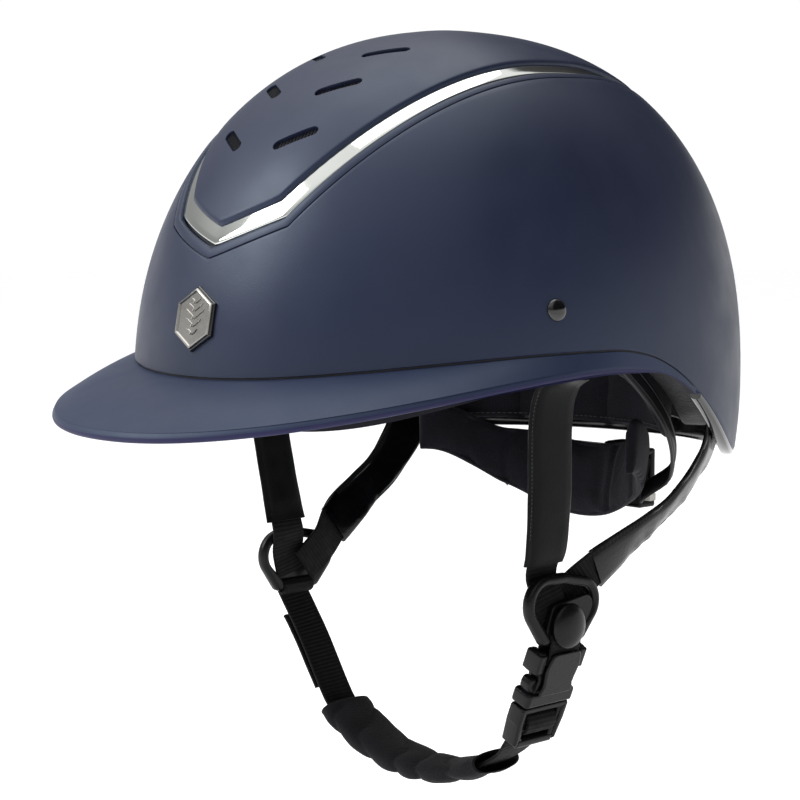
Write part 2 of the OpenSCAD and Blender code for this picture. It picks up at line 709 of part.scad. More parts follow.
// Socket half of the buckle. Its sides are open along the prongs.
module buckle_female() {
    half = buckle_width / 2;
    body_length = 23.5;
    thick = 9;
    color(gloss_black) difference() {
        at_buckle() difference() {
            translate([-thick / 2, -half, 0.4]) cube([thick, buckle_width, body_length]);
            translate([-thick / 2 - 1, -half - 1, 14]) cube([2.2, buckle_width + 2, 12]);
            translate([thick / 2 - 1.2, -half - 1, 14]) cube([2.2, buckle_width + 2, 12]);
            translate([-3.1, -half + 1.8, -1]) cube([6.2, buckle_width - 3.6, 14.5]);
            translate([-3.1, -half - 1, -1]) cube([6.2, buckle_width + 2, 12]);
            translate([-thick, -webbing_width / 2 - 0.8, 15.4]) cube([2 * thick, webbing_width + 1.6, 12]);
        }
        translate([divider_side - 1.6, strap_level - 9, divider_bar_z - 6]) rotate([-90, 0, 0])
            cylinder(r = 3.6, h = 18);
    }
    color(gloss_black) translate([divider_side - 1.6, strap_level - half, divider_bar_z - 6]) rotate([-90, 0, 0])
        cylinder(r = 1.7, h = buckle_width);
}

// Plug half of the buckle, with a guide in the middle and two bars for the webbing.
module buckle_male() {
    half = buckle_width / 2;
    frame_length = 18;
    color(gloss_black) at_buckle() {
        difference() {
            translate([-3, -half, -frame_length]) cube([6, buckle_width, frame_length]);
            for (z = [-6.5, -14]) translate([-5, -webbing_width / 2 - 0.6, z]) cube([10, webbing_width + 1.2, 4]);
            for (s = [-1, 1]) translate([-4, s * prong_y, -1.6]) rotate([0, 90, 0]) cylinder(r = 2.4, h = 3.9);
            for (s = [-1, 1]) translate([-4, s * prong_y - 2.4, -1.6]) cube([3.9, 4.8, 3]);
        }
        translate([-2.6, -2.2, 0]) cube([2.2, 4.4, prong_length]);
        for (s = [-1, 1]) translate([-2.8, s * prong_y, -1.6]) rotate([0, 90, 0]) cylinder(r = 0.8, h = 3.2);
    }
}

// One springy prong, turning on the thin pin in the plug half.
module latch(side) {
    color(gloss_black) at_buckle() translate([-2.6, side * prong_y, -1.6]) difference() {
        union() {
            rotate([0, 90, 0]) cylinder(r = 1.8, h = 2.2);
            translate([0, -1.1, 0]) cube([2.2, 2.2, prong_length + 1]);
            translate([0, side > 0 ? -1.1 : -2.1, prong_length - 4]) cube([2.2, 3.2, 5]);
        }
        translate([-1, 0, 0]) rotate([0, 90, 0]) cylinder(r = 0.8 + fit_gap, h = 5);
    }
}

module latch_front() { latch(-1); }
module latch_rear() { latch(1); }

// Point of the chin strap's arc. At the end of the cover it begins to turn towards the level of the buckle.
function chin_point(angle) =
    [chin_radius * cos(angle), chin_level - 0.8 * clamp01((angle + 60) / 7), chin_centre_z + chin_radius * sin(angle)];

hang_x = -divider_side - 2.3;
hang_z = divider_bar_z - 1.6;

// Webbing from the right divider, round the chin, to the buckle's plug.
module chin_webbing() {
    arc = [for (a = [chin_start:7:chin_end]) [chin_point(a), across]];
    route = concat([[[hang_x, strap_level, hang_z], across], [[-66, -9.5, -113], across]], arc,
        [[[55.2, strap_level, -133.8], across]]);
    color(webbing_black) {
        strip(route, webbing_width, webbing_thickness);
        translate([-divider_side, strap_level - webbing_width / 2, divider_bar_z]) rotate([-90, 0, 0])
            difference() {
                cylinder(r = 3.5, h = webbing_width);
                translate([0, 0, -1]) cylinder(r = 2, h = webbing_width + 2);
            }
    }
}

// Folded end of the webbing, stitched back along the outside of the strap.
module chin_strap_tail() {
    tail = [[[-74, -10, -105.5], across], [[-68.6, -9.2, -114.5], across], [[-58.3, chin_level, -132.1], across]];
    color(webbing_black) strip(tail, webbing_width, webbing_thickness);
}

// Soft sleeve round the middle of the chin strap.
module chin_cover() {
    sweep = 71;
    color(soft_black) translate([0, chin_level, chin_centre_z]) rotate([90, 0, 0])
        rotate([0, 0, -128]) rotate_extrude(angle = sweep, $fn = 96)
            difference() {
                union() {
                    translate([chin_radius - 4, -9]) square([8, 18]);
                    for (s = [-1, 1]) translate([chin_radius, s * 8.5]) circle(r = 4);
                }
                translate([chin_radius - 1.8, -8.8]) square([3.6, 17.6]);
            }
}

outer_shell();
crown_panel();
channel_liner();
chrome_trim();
vent_mesh();
peak();
peak_gasket();
badge_base();
badge_plate();
side_pin_left();
side_pin_right();
rear_rim_trim();
impact_liner();
comfort_headband();
crown_pad();
strap_anchors();
temple_pins();
cradle_arm_left();
cradle_arm_right();
nape_cradle();
nape_pad();
dial_housing();
dial_knob();
dial_pinion();
rack_left();
rack_right();
front_strap_left();
front_strap_right();
front_sleeve_left();
front_sleeve_right();
rear_strap_left();
rear_strap_right();
rear_sleeve_left();
rear_sleeve_right();
divider_left();
divider_right();
divider_cap_left();
divider_cap_right();
buckle_link();
buckle_female();
buckle_male();
latch_front();
latch_rear();
chin_webbing();
chin_strap_tail();
chin_cover();
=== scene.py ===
"""Riding helmet: the visible pieces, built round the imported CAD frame. Shapes are worked out in millimetres."""
import math

import bmesh
import bpy
import numpy as np
from mathutils import Matrix, Vector, noise


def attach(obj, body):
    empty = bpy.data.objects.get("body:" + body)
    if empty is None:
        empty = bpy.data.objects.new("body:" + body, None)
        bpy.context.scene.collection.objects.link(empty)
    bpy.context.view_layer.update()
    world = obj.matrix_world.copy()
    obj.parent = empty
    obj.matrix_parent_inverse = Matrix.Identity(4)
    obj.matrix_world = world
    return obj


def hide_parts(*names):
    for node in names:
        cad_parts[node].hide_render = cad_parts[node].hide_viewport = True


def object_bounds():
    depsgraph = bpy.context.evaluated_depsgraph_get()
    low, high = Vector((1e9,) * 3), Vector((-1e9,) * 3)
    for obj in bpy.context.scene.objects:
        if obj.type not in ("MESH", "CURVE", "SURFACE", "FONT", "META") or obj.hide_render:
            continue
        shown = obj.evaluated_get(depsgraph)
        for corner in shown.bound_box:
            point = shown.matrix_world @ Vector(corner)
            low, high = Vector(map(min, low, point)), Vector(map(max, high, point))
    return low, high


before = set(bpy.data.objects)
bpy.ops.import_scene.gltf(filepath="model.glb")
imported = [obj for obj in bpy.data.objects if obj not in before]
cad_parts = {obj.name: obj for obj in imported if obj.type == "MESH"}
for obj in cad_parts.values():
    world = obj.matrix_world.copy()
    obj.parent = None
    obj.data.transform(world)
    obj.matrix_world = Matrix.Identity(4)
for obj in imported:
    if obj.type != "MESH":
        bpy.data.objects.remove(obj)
cad_low, cad_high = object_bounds()
MM = 0.001

# ---- Dome: the same curves as the CAD shell ----

HALF_WIDTH, FRONT, REAR, HEIGHT = 104.0, 124.0, 129.0, 136.5
PLAN = 2 / 2.2
FRONT_E, SIDE_E, REAR_E = 2.02, 2.25, 2.43
FRONT_TUCK, SIDE_TUCK, REAR_TUCK = 0.02, 0.042, 0.067
BROW = 108
PANEL_EDGE = (26.7, 14, 31, 64, 36)
CHANNEL_EDGE = (23.2, 17, 28, 60.2, 31)
GROOVE_EDGE = (21.3, 18.5, 26.6, 58.6, 28.8)
CHANNEL_DEPTH = 3.2
SEAM_HALF = 0.35
PEAK_END, TRIM_START = 103, 105
VENTS = ((11.5, 42.7), (15.5, 54.8), (24, 66.5))
VENT_SLANT = (0.837, 0.435, 0.33)
VENT_LENGTH, VENT_WIDTH = 18.5, 4.4
MM_PER_DEGREE = math.pi * HEIGHT / 180


def mix(a, b, t):
    return a + (b - a) * t


def smooth(t):
    t = np.clip(t, 0, 1)
    return t * t * (3 - 2 * t)


def by_side(phi, front, side, rear):
    s, c = np.sin(np.radians(phi)), np.cos(np.radians(phi))
    return s * s * side + c * c * np.where(c > 0, front, rear)


def dome_z(phi, z, off):
    """Point in direction phi (0 front, 90 wearer's left), at height z, off mm inside the outer face."""
    phi, z, off = np.broadcast_arrays(np.asarray(phi, float), np.asarray(z, float), np.asarray(off, float))
    s, c = np.sin(np.radians(phi)), np.cos(np.radians(phi))
    e = by_side(phi, FRONT_E, SIDE_E, REAR_E)
    above = (1 - np.clip(z / (HEIGHT - off), 0, 1) ** e) ** (1 / e)
    below = 1 - by_side(phi, FRONT_TUCK, SIDE_TUCK, REAR_TUCK) * (z / 50) ** 2
    r = np.where(z < 0, below, above)
    x = (HALF_WIDTH - off) * np.sign(s) * np.abs(s) ** PLAN * r
    y = -(np.where(c > 0, FRONT, REAR) - off) * np.sign(c) * np.abs(c) ** PLAN * r
    return np.stack([x, y, z], -1)


def dome(phi, a, off):
    """The same, with the height as an angle up the dome."""
    phi, a, off = np.broadcast_arrays(np.asarray(phi, float), np.asarray(a, float), np.asarray(off, float))
    return dome_z(phi, np.where(a < 0, a * MM_PER_DEGREE, (HEIGHT - off) * np.sin(np.radians(a))), off)


def angle_of(z, off):
    z = np.asarray(z, float)
    return np.where(z < 0, z / MM_PER_DEGREE, np.degrees(np.arcsin(np.clip(z / (HEIGHT - off), 0, 1))))


def edge_angle(phi, e):
    """Height of an edge round the crown panel: V at the front, long curve at the sides, V at the rear."""
    p = np.abs(phi)
    front = mix(e[0], e[2], p / e[1])
    side = mix(e[2], e[3], 1 - (1 - np.clip((p - e[1]) / (BROW - e[1]), 0, 1)) ** 2.5)
    rear = mix(e[3], e[4], np.clip((p - BROW) / (180 - BROW), 0, 1) ** 1.8)
    return np.where(p < e[1], front, np.where(p < BROW, side, rear))


def seam_z(phi):
    p = np.abs(phi)
    return np.where(p < 85, mix(7.5, 17, smooth(p / 82)), mix(17, -28, smooth((p - 85) / 45)))


def rim_z(phi):
    return np.minimum(mix(-9, 10, smooth((np.abs(phi) - 25) / 60)), seam_z(phi) - 2.4)


def liner_z(phi):
    p = np.abs(phi)
    return np.where(p < 90, mix(-4, 14, smooth((p - 25) / 60)), mix(14, -18, smooth((p - 90) / 45)))


def headband_z(phi):
    p = np.abs(phi)
    return np.where(p < 90, mix(-8, 9, smooth((p - 25) / 60)), mix(9, -24, smooth((p - 90) / 45)))


def unit(v):
    v = np.asarray(v, float)
    return v / np.linalg.norm(v, axis=-1, keepdims=True)


def on_dome(phi, a, along=(1, 0, 0)):
    """Frame on the dome's face: columns are the X, Y and outward directions, then the point."""
    du = dome(phi + 1, a, 0) - dome(phi - 1, a, 0)
    dv = dome(phi, a + 1, 0) - dome(phi, a - 1, 0)
    out = unit(np.cross(du, dv))
    x = np.array(along, float)
    x = unit(x - out * (x @ out))
    return x, np.cross(out, x), out, dome(phi, a, 0)


def placed(points, place):
    """Points given in a local frame, put in place."""
    x, y, out, origin = place
    p = np.asarray(points, float)
    return origin + p[..., :1] * x + p[..., 1:2] * y + p[..., 2:3] * out


def wrap(a):
    return np.where(a > 180, a - 360, a)


# ---- Meshes ----


def add_mesh(name, points, faces, material, body, slot, stands_for=(), uv=None, sharp=38):
    """A smooth-shaded mesh from points in millimetres, riding on a body. uv has one pair for each point."""
    mesh = bpy.data.meshes.new(name)
    mesh.from_pydata((np.asarray(points, float).reshape(-1, 3) * MM).tolist(), [], faces)
    obj = bpy.data.objects.new(name, mesh)
    bpy.context.scene.collection.objects.link(obj)
    for m in material if isinstance(material, (list, tuple)) else [material]:
        mesh.materials.append(m)
    if uv is not None:
        layer = mesh.uv_layers.new(name="UVMap")
        index = np.zeros(len(mesh.loops), int)
        mesh.loops.foreach_get("vertex_index", index)
        layer.data.foreach_set("uv", np.asarray(uv, float).reshape(-1, 2)[index].ravel())
    mesh.shade_smooth()
    mesh.set_sharp_from_angle(angle=math.radians(sharp))
    if stands_for:
        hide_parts(*stands_for)
    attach(obj, body)
    return obj


def grid_faces(rows, cols, close_rows=False, close_cols=False, first=0):
    """Quads of a grid of points, row by row."""
    faces = []
    for r in range(rows if close_rows else rows - 1):
        for c in range(cols if close_cols else cols - 1):
            a, b = r * cols + c, r * cols + (c + 1) % cols
            d, e = ((r + 1) % rows) * cols + c, ((r + 1) % rows) * cols + (c + 1) % cols
            faces.append((first + a, first + b, first + e, first + d))
    return faces


def closed_dome(rows, top_out, top_in):
    """Points and faces of a cap. Rows run from near the outer top down to the rim and up the inside."""
    rows = np.asarray(rows)
    n, m = rows.shape[:2]
    points = np.vstack([rows.reshape(-1, 3), [top_out], [top_in]])
    faces = grid_faces(n, m, close_cols=True)
    faces += [(c, n * m, (c + 1) % m) for c in range(m)]
    last = (n - 1) * m
    faces += [(last + (c + 1) % m, n * m + 1, last + c) for c in range(m)]
    return points, faces


def spline(points, step):
    """Catmull-Rom curve through points of any size, sampled about every step along the first three numbers."""
    p = np.array(points, float)
    p = np.vstack([2 * p[0] - p[1], p, 2 * p[-1] - p[-2]])
    out = []
    for i in range(1, len(p) - 2):
        n = max(2, int(np.linalg.norm(p[i + 1][:3] - p[i][:3]) / step))
        for t in np.arange(n) / n:
            out.append(0.5 * (2 * p[i] + (p[i + 1] - p[i - 1]) * t
                              + (2 * p[i - 1] - 5 * p[i] + 4 * p[i + 1] - p[i + 2]) * t * t
                              + (3 * p[i] - p[i - 1] - 3 * p[i + 1] + p[i + 2]) * t ** 3))
    out.append(p[-2])
    return np.array(out)


def sweep(sections, closed=False):
    """Points, faces and UVs (metres along and around) of a tube through sections of points."""
    s = np.asarray(sections, float)
    n, m = s.shape[:2]
    faces = grid_faces(n, m, close_rows=closed, close_cols=True)
    if not closed:
        faces += [tuple(range(m)), tuple(range(n * m - 1, (n - 1) * m - 1, -1))]
    along = np.concatenate([[0], np.cumsum(np.linalg.norm(np.diff(s.mean(1), axis=0), axis=1))])
    around = np.concatenate([[0], np.cumsum(np.linalg.norm(np.diff(s[0], axis=0), axis=1))])
    uv = np.stack(np.meshgrid(along, around, indexing="ij"), -1) * MM
    return s.reshape(-1, 3), faces, uv.reshape(-1, 2)


def rounded_bar(width, thickness, radius=None, steps=4):
    """Outline of a flat bar with round edges, as pairs (across, through)."""
    r = thickness * 0.49 if radius is None else radius
    out = []
    for cx, cy, start in ((1, 1, 0), (-1, 1, 90), (-1, -1, 180), (1, -1, 270)):
        for i in range(steps + 1):
            a = math.radians(start + 90 * i / steps)
            out.append((cx * (width / 2 - r) + r * math.cos(a), cy * (thickness / 2 - r) + r * math.sin(a)))
    return np.array(out)


def ribbon(route, outline, ripple=None, step=1.5):
    """A strap along a route of (point, width direction) pairs. ripple(t, outline) may reshape the outline."""
    line = spline([list(p) + list(w) for p, w in route], step)
    pos, side = line[:, :3], line[:, 3:]
    along = unit(np.gradient(pos, axis=0))
    face = unit(np.cross(along, side))
    side = unit(np.cross(face, along))
    sections = []
    for i in range(len(pos)):
        o = outline if ripple is None else ripple(i / (len(pos) - 1), np.array(outline))
        sections.append(pos[i] + o[:, :1] * side[i] + o[:, 1:2] * face[i])
    return sweep(sections)


def lathe(profile, place, segments=48):
    """Points and faces of a turned shape. Profile is (radius, height) pairs from the middle of one end."""
    pts, faces = [], []
    ang = np.radians(np.arange(segments) * 360 / segments)
    for r, h in profile:
        pts.append(np.stack([r * np.cos(ang), r * np.sin(ang), np.full(segments, h)], -1))
    rows = np.array(pts)
    n = len(profile)
    points = placed(rows.reshape(-1, 3), place)
    faces = grid_faces(n, segments, close_cols=True)
    faces += [tuple(range(segments - 1, -1, -1)), tuple(range((n - 1) * segments, n * segments))]
    return points, faces


def prism(outline, heights, place):
    """Stacked outlines: heights is (height, outward growth) pairs, growth measured from the outline's middle."""
    o = np.asarray(outline, float)
    middle = o.mean(0)
    reach = np.linalg.norm(o - middle, axis=1).max()
    rows = []
    for h, grow in heights:
        ring = middle + (o - middle) * (1 + grow / reach)
        rows.append(np.column_stack([ring, np.full(len(o), h)]))
    n, m = len(heights), len(o)
    points = placed(np.array(rows).reshape(-1, 3), place)
    faces = grid_faces(n, m, close_cols=True)
    faces += [tuple(range(m - 1, -1, -1)), tuple(range((n - 1) * m, n * m))]
    return points, faces


def join_parts(parts):
    """Several (points, faces) shapes as one."""
    points, faces, first = [], [], 0
    for p, f in parts:
        points.append(np.asarray(p).reshape(-1, 3))
        faces += [tuple(i + first for i in face) for face in f]
        first += len(points[-1])
    return np.vstack(points), faces


def mirrored(points, faces):
    return np.asarray(points) * [-1, 1, 1], [tuple(reversed(f)) for f in faces]


def place_at(x, y, origin):
    """A local frame from its X and Y directions."""
    x, y = unit(x), unit(y)
    return x, y, np.cross(x, y), np.array(origin, float)


def add_pair(name, shape, material, body, slot, stands_for, sharp=50, recalc=True):
    """The same piece on the wearer's left and right. stands_for names CAD nodes without their side."""
    points, faces, *uv = shape
    for side, (p, f) in (("left", (points, faces)), ("right", mirrored(points, faces))):
        obj = add_mesh(f"{name}_{side}", p, f, material, body, slot, [f"{n}_{side}" for n in stands_for],
                       uv[0] if uv else None, sharp)
        if recalc:
            outward(obj)


def hull(circles, steps=12):
    """Outline round circles given as (x, y, radius)."""
    pts = sorted((cx + r * math.cos(t), cy + r * math.sin(t)) for cx, cy, r in circles
                 for t in np.radians(np.arange(0, 360, 360 / (4 * steps))))
    half = []
    for seq in (pts, pts[::-1]):
        chain = []
        for p in seq:
            while len(chain) > 1 and ((chain[-1][0] - chain[-2][0]) * (p[1] - chain[-2][1])
                                      - (chain[-1][1] - chain[-2][1]) * (p[0] - chain[-2][0])) <= 1e-9:
                chain.pop()
            chain.append(p)
        half += chain[:-1]
    return np.array(half)


def rounded(outline, radius, steps=5):
    """A polygon with its corners rounded. radius is one number, or one for each corner."""
    p = np.array(outline, float)
    radii = np.broadcast_to(radius, len(p))
    out = []
    for i in range(len(p)):
        a, b = unit(p[i - 1] - p[i]), unit(p[(i + 1) % len(p)] - p[i])
        bend = math.acos(float(np.clip(a @ b, -1, 1)))
        room = 0.45 * min(np.linalg.norm(p[i - 1] - p[i]), np.linalg.norm(p[(i + 1) % len(p)] - p[i]))
        cut = min(room, radii[i] / max(1e-6, math.tan(bend / 2)))
        for t in np.linspace(0, 1, steps):
            out.append((1 - t) ** 2 * (p[i] + a * cut) + 2 * t * (1 - t) * p[i] + t * t * (p[i] + b * cut))
    return np.array(out)


def plate(outlines, thickness, rounding, place, steps=3):
    """A flat plate with round edges, centred on its local XY plane. The outlines after the first are holes."""
    curve = bpy.data.curves.new("outline", "CURVE")
    curve.dimensions, curve.fill_mode = "2D", "BOTH"
    for outline in outlines:
        line = curve.splines.new("POLY")
        line.points.add(len(outline) - 1)
        line.points.foreach_set("co", np.column_stack([outline, np.zeros(len(outline)), np.ones(len(outline))]).ravel())
        line.use_cyclic_u = True
    curve.extrude, curve.bevel_depth = thickness / 2 - rounding, rounding
    curve.bevel_resolution, curve.offset = steps, -rounding
    obj = bpy.data.objects.new("outline", curve)
    bpy.context.scene.collection.objects.link(obj)
    mesh = bpy.data.meshes.new_from_object(obj.evaluated_get(bpy.context.evaluated_depsgraph_get()))
    points = np.zeros(len(mesh.vertices) * 3)
    mesh.vertices.foreach_get("co", points)
    faces = [tuple(f.vertices) for f in mesh.polygons]
    bpy.data.objects.remove(obj)
    bpy.data.curves.remove(curve)
    bpy.data.meshes.remove(mesh)
    return placed(points.reshape(-1, 3), place), faces


def stitches(line, out, pitch=2.4, length=1.7, radius=0.22):
    """Short raised stitches along a line of points. out gives the direction they stand out in."""
    line = np.asarray(line, float)
    run = np.concatenate([[0], np.cumsum(np.linalg.norm(np.diff(line, axis=0), axis=1))])
    out = np.broadcast_to(out, line.shape)
    parts = []
    for s in np.arange(pitch / 2, run[-1] - length / 2, pitch):
        a, b, n = (np.array([np.interp(v, run, c[:, k]) for k in range(3)])
                   for v, c in ((s - length / 2, line), (s + length / 2, line), (s, out)))
        along, n = unit(b - a), unit(n)
        side = np.cross(along, n)
        rings = [[mix(a, b, t) + n * lift + radius * w * (math.cos(q) * side + math.sin(q) * n)
                  for q in np.radians(np.arange(0, 360, 60))]
                 for t, w, lift in ((0, 0.3, 0), (0.15, 0.9, 0.05), (0.5, 1, 0.12), (0.85, 0.9, 0.05), (1, 0.3, 0))]
        points, faces, _ = sweep(rings)
        parts.append((points, faces))
    return join_parts(parts)


def outward(obj):
    bm = bmesh.new()
    bm.from_mesh(obj.data)
    bmesh.ops.recalc_face_normals(bm, faces=bm.faces)
    bm.to_mesh(obj.data)
    bm.free()


# ---- Materials ----


class Nodes:
    """Short way to build a material's node tree."""

    def __init__(self, name):
        self.material = bpy.data.materials.new(name)
        self.material.use_nodes = True
        self.tree = self.material.node_tree
        self.shader = next(n for n in self.tree.nodes if n.type == "BSDF_PRINCIPLED")

    def add(self, kind, values=None, **settings):
        node = self.tree.nodes.new(kind)
        for key, value in settings.items():
            setattr(node, key, value)
        for key, value in (values or {}).items():
            node.inputs[key].default_value = value
        return node

    def link(self, out, into):
        self.tree.links.new(out, into)

    def set(self, **values):
        for key, value in values.items():
            self.shader.inputs[key.replace("_", " ")].default_value = value

    def coords(self, kind="Object", scale=(1, 1, 1)):
        node = self.add("ShaderNodeTexCoord")
        mapping = self.add("ShaderNodeMapping", {"Scale": scale})
        self.link(node.outputs[kind], mapping.inputs["Vector"])
        return mapping.outputs["Vector"]

    def noise(self, scale, detail=3, coords=None, kind="Object"):
        node = self.add("ShaderNodeTexNoise", {"Scale": scale, "Detail": detail})
        self.link(coords or self.coords(kind), node.inputs["Vector"])
        return node.outputs["Fac"]

    def math(self, operation, a, b=0.0, clamp=False):
        node = self.add("ShaderNodeMath", operation=operation, use_clamp=clamp)
        for i, v in enumerate((a, b)):
            if isinstance(v, (int, float)):
                node.inputs[i].default_value = v
            else:
                self.link(v, node.inputs[i])
        return node.outputs[0]

    def ramp(self, fac, low, high, a, b):
        """Colour from a to b as fac goes from low to high."""
        node = self.add("ShaderNodeValToRGB")
        node.color_ramp.elements[0].position, node.color_ramp.elements[1].position = low, high
        node.color_ramp.elements[0].color, node.color_ramp.elements[1].color = (*a, 1), (*b, 1)
        self.link(fac, node.inputs["Fac"])
        return node.outputs["Color"]

    def rough(self, fac, low, high):
        node = self.add("ShaderNodeMapRange", {"To Min": low, "To Max": high, "From Min": 0.3, "From Max": 0.7})
        self.link(fac, node.inputs["Value"])
        self.link(node.outputs["Result"], self.shader.inputs["Roughness"])

    def colour(self, out):
        self.link(out, self.shader.inputs["Base Color"])

    def bump(self, height, distance, strength=1.0):
        node = self.add("ShaderNodeBump", {"Strength": strength, "Distance": distance})
        self.link(height, node.inputs["Height"])
        self.link(node.outputs["Normal"], self.shader.inputs["Normal"])


def shades(colour, spread):
    return tuple(c * (1 - spread) for c in colour), tuple(c * (1 + spread) for c in colour)


def moulded(name, colour, roughness, grain=900, depth=0.00004, spread=0.08, coat=0.0, specular=0.5, tint=(1, 1, 1, 1), glow=0.0):
    """Moulded or painted plastic: slight colour drift, fine grain, uneven gloss."""
    n = Nodes(name)
    n.colour(n.ramp(n.noise(18), 0.35, 0.65, *shades(colour, spread)))
    n.rough(n.noise(55, 4), roughness - 0.05, roughness + 0.05)
    n.bump(n.noise(grain, 2), depth)
    n.set(Specular_IOR_Level=specular, Specular_Tint=tint, Coat_Weight=coat, Coat_Roughness=0.08, Emission_Strength=glow)
    return n.material


def metal(name, colour, roughness, scratch=400, depth=0.00001):
    n = Nodes(name)
    n.colour(n.ramp(n.noise(40), 0.3, 0.7, *shades(colour, 0.05)))
    n.rough(n.noise(90, 5), max(0.02, roughness - 0.03), roughness + 0.03)
    n.bump(n.noise(scratch, 4), depth)
    n.set(Metallic=1.0)
    return n.material


def woven(name, colour, rib, across, depth=0.00018, sheen=0.3):
    """Webbing: ribs along the strap's length (UV in metres), crossed by fine threads."""
    n = Nodes(name)
    uv = n.coords("UV")
    ribs = n.add("ShaderNodeTexWave", {"Scale": rib * math.pi / 10, "Distortion": 0.4, "Detail": 1, "Detail Scale": 2},
                 bands_direction="X")
    threads = n.add("ShaderNodeTexWave", {"Scale": across * math.pi / 10, "Distortion": 0.6, "Detail": 1}, bands_direction="Y")
    n.link(uv, ribs.inputs["Vector"])
    n.link(uv, threads.inputs["Vector"])
    both = n.math("MULTIPLY", ribs.outputs["Fac"], n.math("ADD", n.math("MULTIPLY", threads.outputs["Fac"], 0.6), 0.4))
    fuzz = n.math("ADD", both, n.math("MULTIPLY", n.noise(1500, 2), 0.35))
    dark, light = shades(colour, 0.45)
    n.colour(n.ramp(both, 0.1, 0.9, dark, light))
    n.rough(n.noise(300), 0.62, 0.8)
    n.bump(fuzz, depth)
    n.set(Sheen_Weight=sheen, Sheen_Roughness=0.4, Specular_IOR_Level=0.15)
    return n.material


def knit(name, colour, scale, depth=0.0002, sheen=0.5, stretch=(1, 1, 1)):
    """Knitted or brushed fabric that doesn't need a UV map."""
    n = Nodes(name)
    where = n.coords("Object", stretch)
    cells = n.add("ShaderNodeTexVoronoi", {"Scale": scale, "Randomness": 0.55})
    n.link(where, cells.inputs["Vector"])
    lint = n.noise(scale * 1.7, 4)
    height = n.math("ADD", n.math("MULTIPLY", cells.outputs["Distance"], -0.9), n.math("MULTIPLY", lint, 0.5))
    n.colour(n.ramp(n.noise(70, 4), 0.3, 0.7, *shades(colour, 0.3)))
    n.rough(lint, 0.8, 0.95)
    n.bump(height, depth)
    n.set(Sheen_Weight=sheen, Sheen_Roughness=0.5, Specular_IOR_Level=0.25)
    return n.material


def coated(name, colour, roughness, specular):
    """Smooth coated strap sleeve: fine creases and a soft gloss."""
    n = Nodes(name)
    crease = n.add("ShaderNodeTexVoronoi", {"Scale": 900, "Randomness": 1.0})
    n.link(n.coords("Object"), crease.inputs["Vector"])
    n.colour(n.ramp(n.noise(60, 4), 0.3, 0.7, *shades(colour, 0.2)))
    n.rough(n.noise(120, 5), roughness - 0.08, roughness + 0.1)
    n.bump(n.math("ADD", n.math("MULTIPLY", crease.outputs["Distance"], 0.5), n.noise(140, 4)), 0.00012, 0.7)
    n.set(Specular_IOR_Level=specular)
    return n.material


def foam(name, colour):
    """Moulded bead foam under a thin painted skin."""
    n = Nodes(name)
    beads = n.add("ShaderNodeTexVoronoi", {"Scale": 320, "Randomness": 1.0}, feature="DISTANCE_TO_EDGE")
    n.link(n.coords("Object"), beads.inputs["Vector"])
    n.colour(n.ramp(beads.outputs["Distance"], 0.0, 0.12, *shades(colour, 0.35)))
    n.rough(n.noise(80), 0.6, 0.8)
    n.bump(n.math("MINIMUM", beads.outputs["Distance"], 0.15), 0.0006)
    return n.material


BLUE_GLINT = (0.72, 0.86, 1, 1)
SHELL = moulded("soft_touch_navy", (0.013, 0.017, 0.042), 0.42, grain=1600, depth=0.00003, spread=0.05, specular=0.42,
                tint=BLUE_GLINT)
# The peak's navy is lighter than the shell's: painted light, standing for light falling from above on the peak's top.
PEAK_PAINTED_LIT = moulded("soft_touch_navy_peak_painted_lit", (0.018, 0.026, 0.060), 0.5, grain=1500, depth=0.00004, spread=0.05, specular=0.4,
               tint=BLUE_GLINT)
PEAK_LIP = moulded("peak_lip", (0.017, 0.017, 0.062), 0.55, grain=1200, depth=0.00005, specular=0.25)
UNDER = moulded("peak_underside", (0.006, 0.006, 0.012), 0.6, specular=0.2)
GLOSS = moulded("gloss_black", (0.003, 0.003, 0.004), 0.12, grain=300, depth=0.00001, coat=0.6)
SATIN = moulded("satin_black", (0.004, 0.004, 0.005), 0.42, grain=1200, specular=0.18)
WIRE = moulded("grille_wire", (0.012, 0.012, 0.015), 0.4, grain=1500, specular=0.3)
BUCKLE = moulded("buckle_black", (0.004, 0.004, 0.005), 0.28, grain=900, depth=0.00005, specular=0.2)
NYLON = moulded("gear_nylon", (0.55, 0.54, 0.50), 0.45)
CHROME = metal("chrome", (0.70, 0.72, 0.69), 0.06)
GUNMETAL = metal("gunmetal", (0.34, 0.33, 0.31), 0.24, depth=0.00003)
STEEL = metal("zinc_plate", (0.60, 0.61, 0.60), 0.35, depth=0.00004)
WEBBING = woven("webbing", (0.004, 0.004, 0.005), 620, 1500, sheen=0.02)
SLEEVE = coated("coated_sleeve", (0.003, 0.0033, 0.004), 0.42, 0.1)
COVER = knit("stretch_cover", (0.004, 0.004, 0.006), 1300, sheen=0.03)
LINING = knit("lining_knit", (0.004, 0.004, 0.008), 1100, sheen=0.05)
FOAM = foam("foam_skin", (0.003, 0.003, 0.005))
GLAZED = coated("glossy_sleeve", (0.002, 0.0022, 0.003), 0.2, 0.25)
THREAD = knit("thread", (0.05, 0.05, 0.055), 2500, sheen=0.1)
RUBBER = moulded("seal_rubber", (0.004, 0.004, 0.006), 0.6)

# ---- Shell, crown panel, trims ----

turns = np.unique(np.concatenate([np.arange(-178, 181, 2.0), [-18.5, -17, -14, 14, 17, 18.5, -1, 1, -103, 103, -105, 105]]))


def dome_rows(pairs):
    """Rows of points from (angle or array of angles, depth) pairs."""
    return [dome(turns, a, off) for a, off in pairs]


